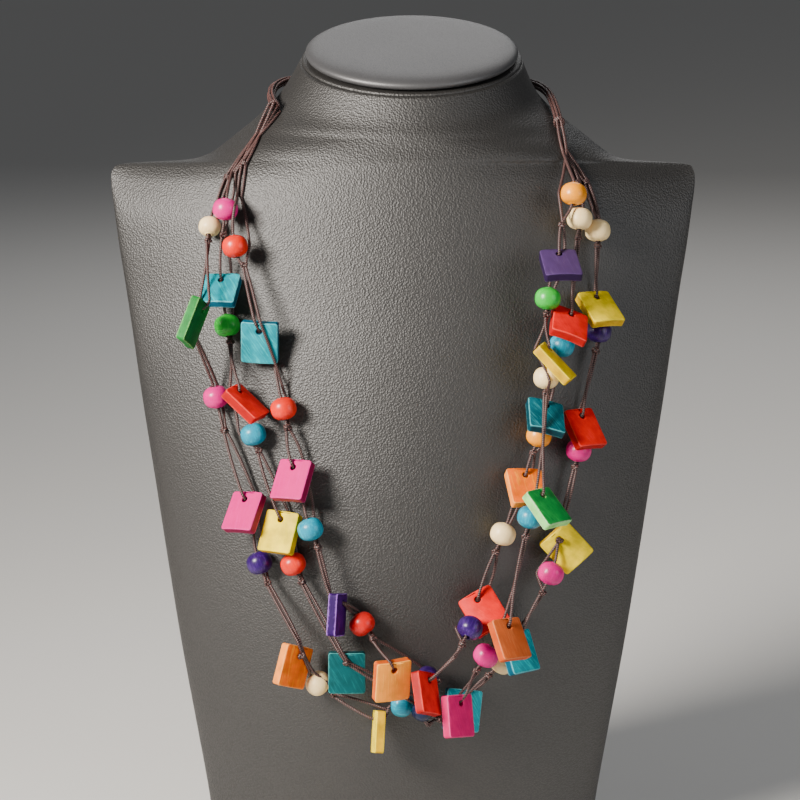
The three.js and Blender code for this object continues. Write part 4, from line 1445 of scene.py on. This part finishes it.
for strand in strands:
    spots = knot_spots[strand["name"]]
    carrier = bpy.data.meshes.new("knot_spots")
    carrier.from_pydata([MM * spot for spot, run in spots], [], [])
    runs = carrier.attributes.new("run", "FLOAT_VECTOR", "POINT")
    runs.data.foreach_set("vector", [c for spot, run in spots for c in run])
    mesh = grown(
        f"knots_{strand['name']}", carrier, knots_on_cords,
        {"Knot Form": knot_form, "Cord Wax": cord_wax},
    )
    add_piece(mesh.name, mesh, cord_wax, "waxed_cord")
bpy.data.objects.remove(knot_form)


# ---- Nape: gathered cords, wraps and the knot behind ----------------------------------------------
# All six cords are gathered beside the neck and bound with a few turns of cord. They lie round the
# back of the neck in a loose bundle, which is whipped together at the nape.

BUNDLE_RING = 1.25                      # from the middle of the bundle to each of its six cords
BUNDLE_TWIST = 0.22                     # radians from one point of the neck's route to the next
BUNDLE_STEPS = 6

nape = next(i for i, (z, degrees) in enumerate(NECK_ROUTE) if degrees == 90)
bundle = []
for k in range(6):
    line = []
    for i, middle in enumerate(neck_route):
        ahead = neck_route[min(i + 1, len(neck_route) - 1)] - neck_route[max(i - 1, 0)]
        ahead.normalize()
        out = ahead.cross(Vector((0, 0, 1))).normalized()
        up = out.cross(ahead)
        angle = 2 * math.pi * k / 6 + BUNDLE_TWIST * i
        line.append(middle + BUNDLE_RING * (math.cos(angle) * out + math.sin(angle) * up))
    dense = [line[0]]
    for a, b in zip(line, line[1:]):
        dense += [a + (b - a) * step / BUNDLE_STEPS for step in range(1, BUNDLE_STEPS + 1)]
    bundle.append(eased(dense, 8))
nape_mesh = grown(
    "nape_cords", line_mesh("nape_routes", bundle), twisted_cord,
    {"Step": 0.3 * MM, "Cord Wax": cord_wax},
)
add_piece("nape_cords", nape_mesh, cord_wax, "waxed_cord", "nape_cord_left", "nape_cord_right")


TURN_STEPS = 16


def binding(middle, run, radius, length, cord):
    """Close turns of cord round a bundle. cord is the radius of the cord that is wound."""
    run = run.normalized()
    out = run.cross(Vector((0, 0, 1))).normalized()
    up = out.cross(run)
    steps = round(length / (2 * cord)) * TURN_STEPS
    line = []
    for i in range(steps + 1):
        angle = 2 * math.pi * i / TURN_STEPS
        along = (i / steps - 0.5) * (length - 2 * cord)
        line.append(middle + run * along + radius * (math.cos(angle) * out + math.sin(angle) * up))
    return line


WOUND_CORD = 0.5
BINDINGS = [
    # piece, middle, run, radius, length, node
    ("wrap_left_turns", *wraps["left"], 1.95, 2 * WRAP_HALF, "wrap_left"),
    ("wrap_right_turns", *wraps["right"], 1.95, 2 * WRAP_HALF, "wrap_right"),
    ("nape_whipping", neck_route[nape], neck_route[nape + 1] - neck_route[nape - 1], 2.6, 9.0,
     "nape_knot"),
]
for name, middle, run, radius, length, node in BINDINGS:
    mesh = grown(
        name, line_mesh("binding_route", [binding(middle, run, radius, length, WOUND_CORD)]),
        twisted_cord, {"Radius": WOUND_CORD * MM, "Step": 0.35 * MM, "Cord Wax": cord_wax},
    )
    add_piece(name, mesh, cord_wax, "waxed_cord", node)

# Small bindings of the outer and inner strands, at the second place of their way to the first bead,
# where the two cords start to part.
SMALL_RADIUS, SMALL_LENGTH, SMALL_CORD = 1.25, 2.4, 0.4
UPPER_POINTS = 60                       # of each cord's line, enough to pass the binding
small_lines = []
for strand in strands:
    if strand["name"].startswith("middle"):
        continue
    x, z = strand["via"][1]
    line = [(a + b) / 2 for a, b in zip(*[points[:UPPER_POINTS] for points in strand["lines"]])]
    near = min(range(1, len(line) - 1), key=lambda i: (line[i].x - x) ** 2 + (line[i].z - z) ** 2)
    run = line[near + 1] - line[near - 1]
    small_lines.append(binding(line[near], run, SMALL_RADIUS, SMALL_LENGTH, SMALL_CORD))
small_mesh = grown(
    "small_bindings", line_mesh("small_routes", small_lines), twisted_cord,
    {"Radius": SMALL_CORD * MM, "Step": 0.35 * MM, "Cord Wax": cord_wax},
)
add_piece("small_bindings", small_mesh, cord_wax, "waxed_cord")
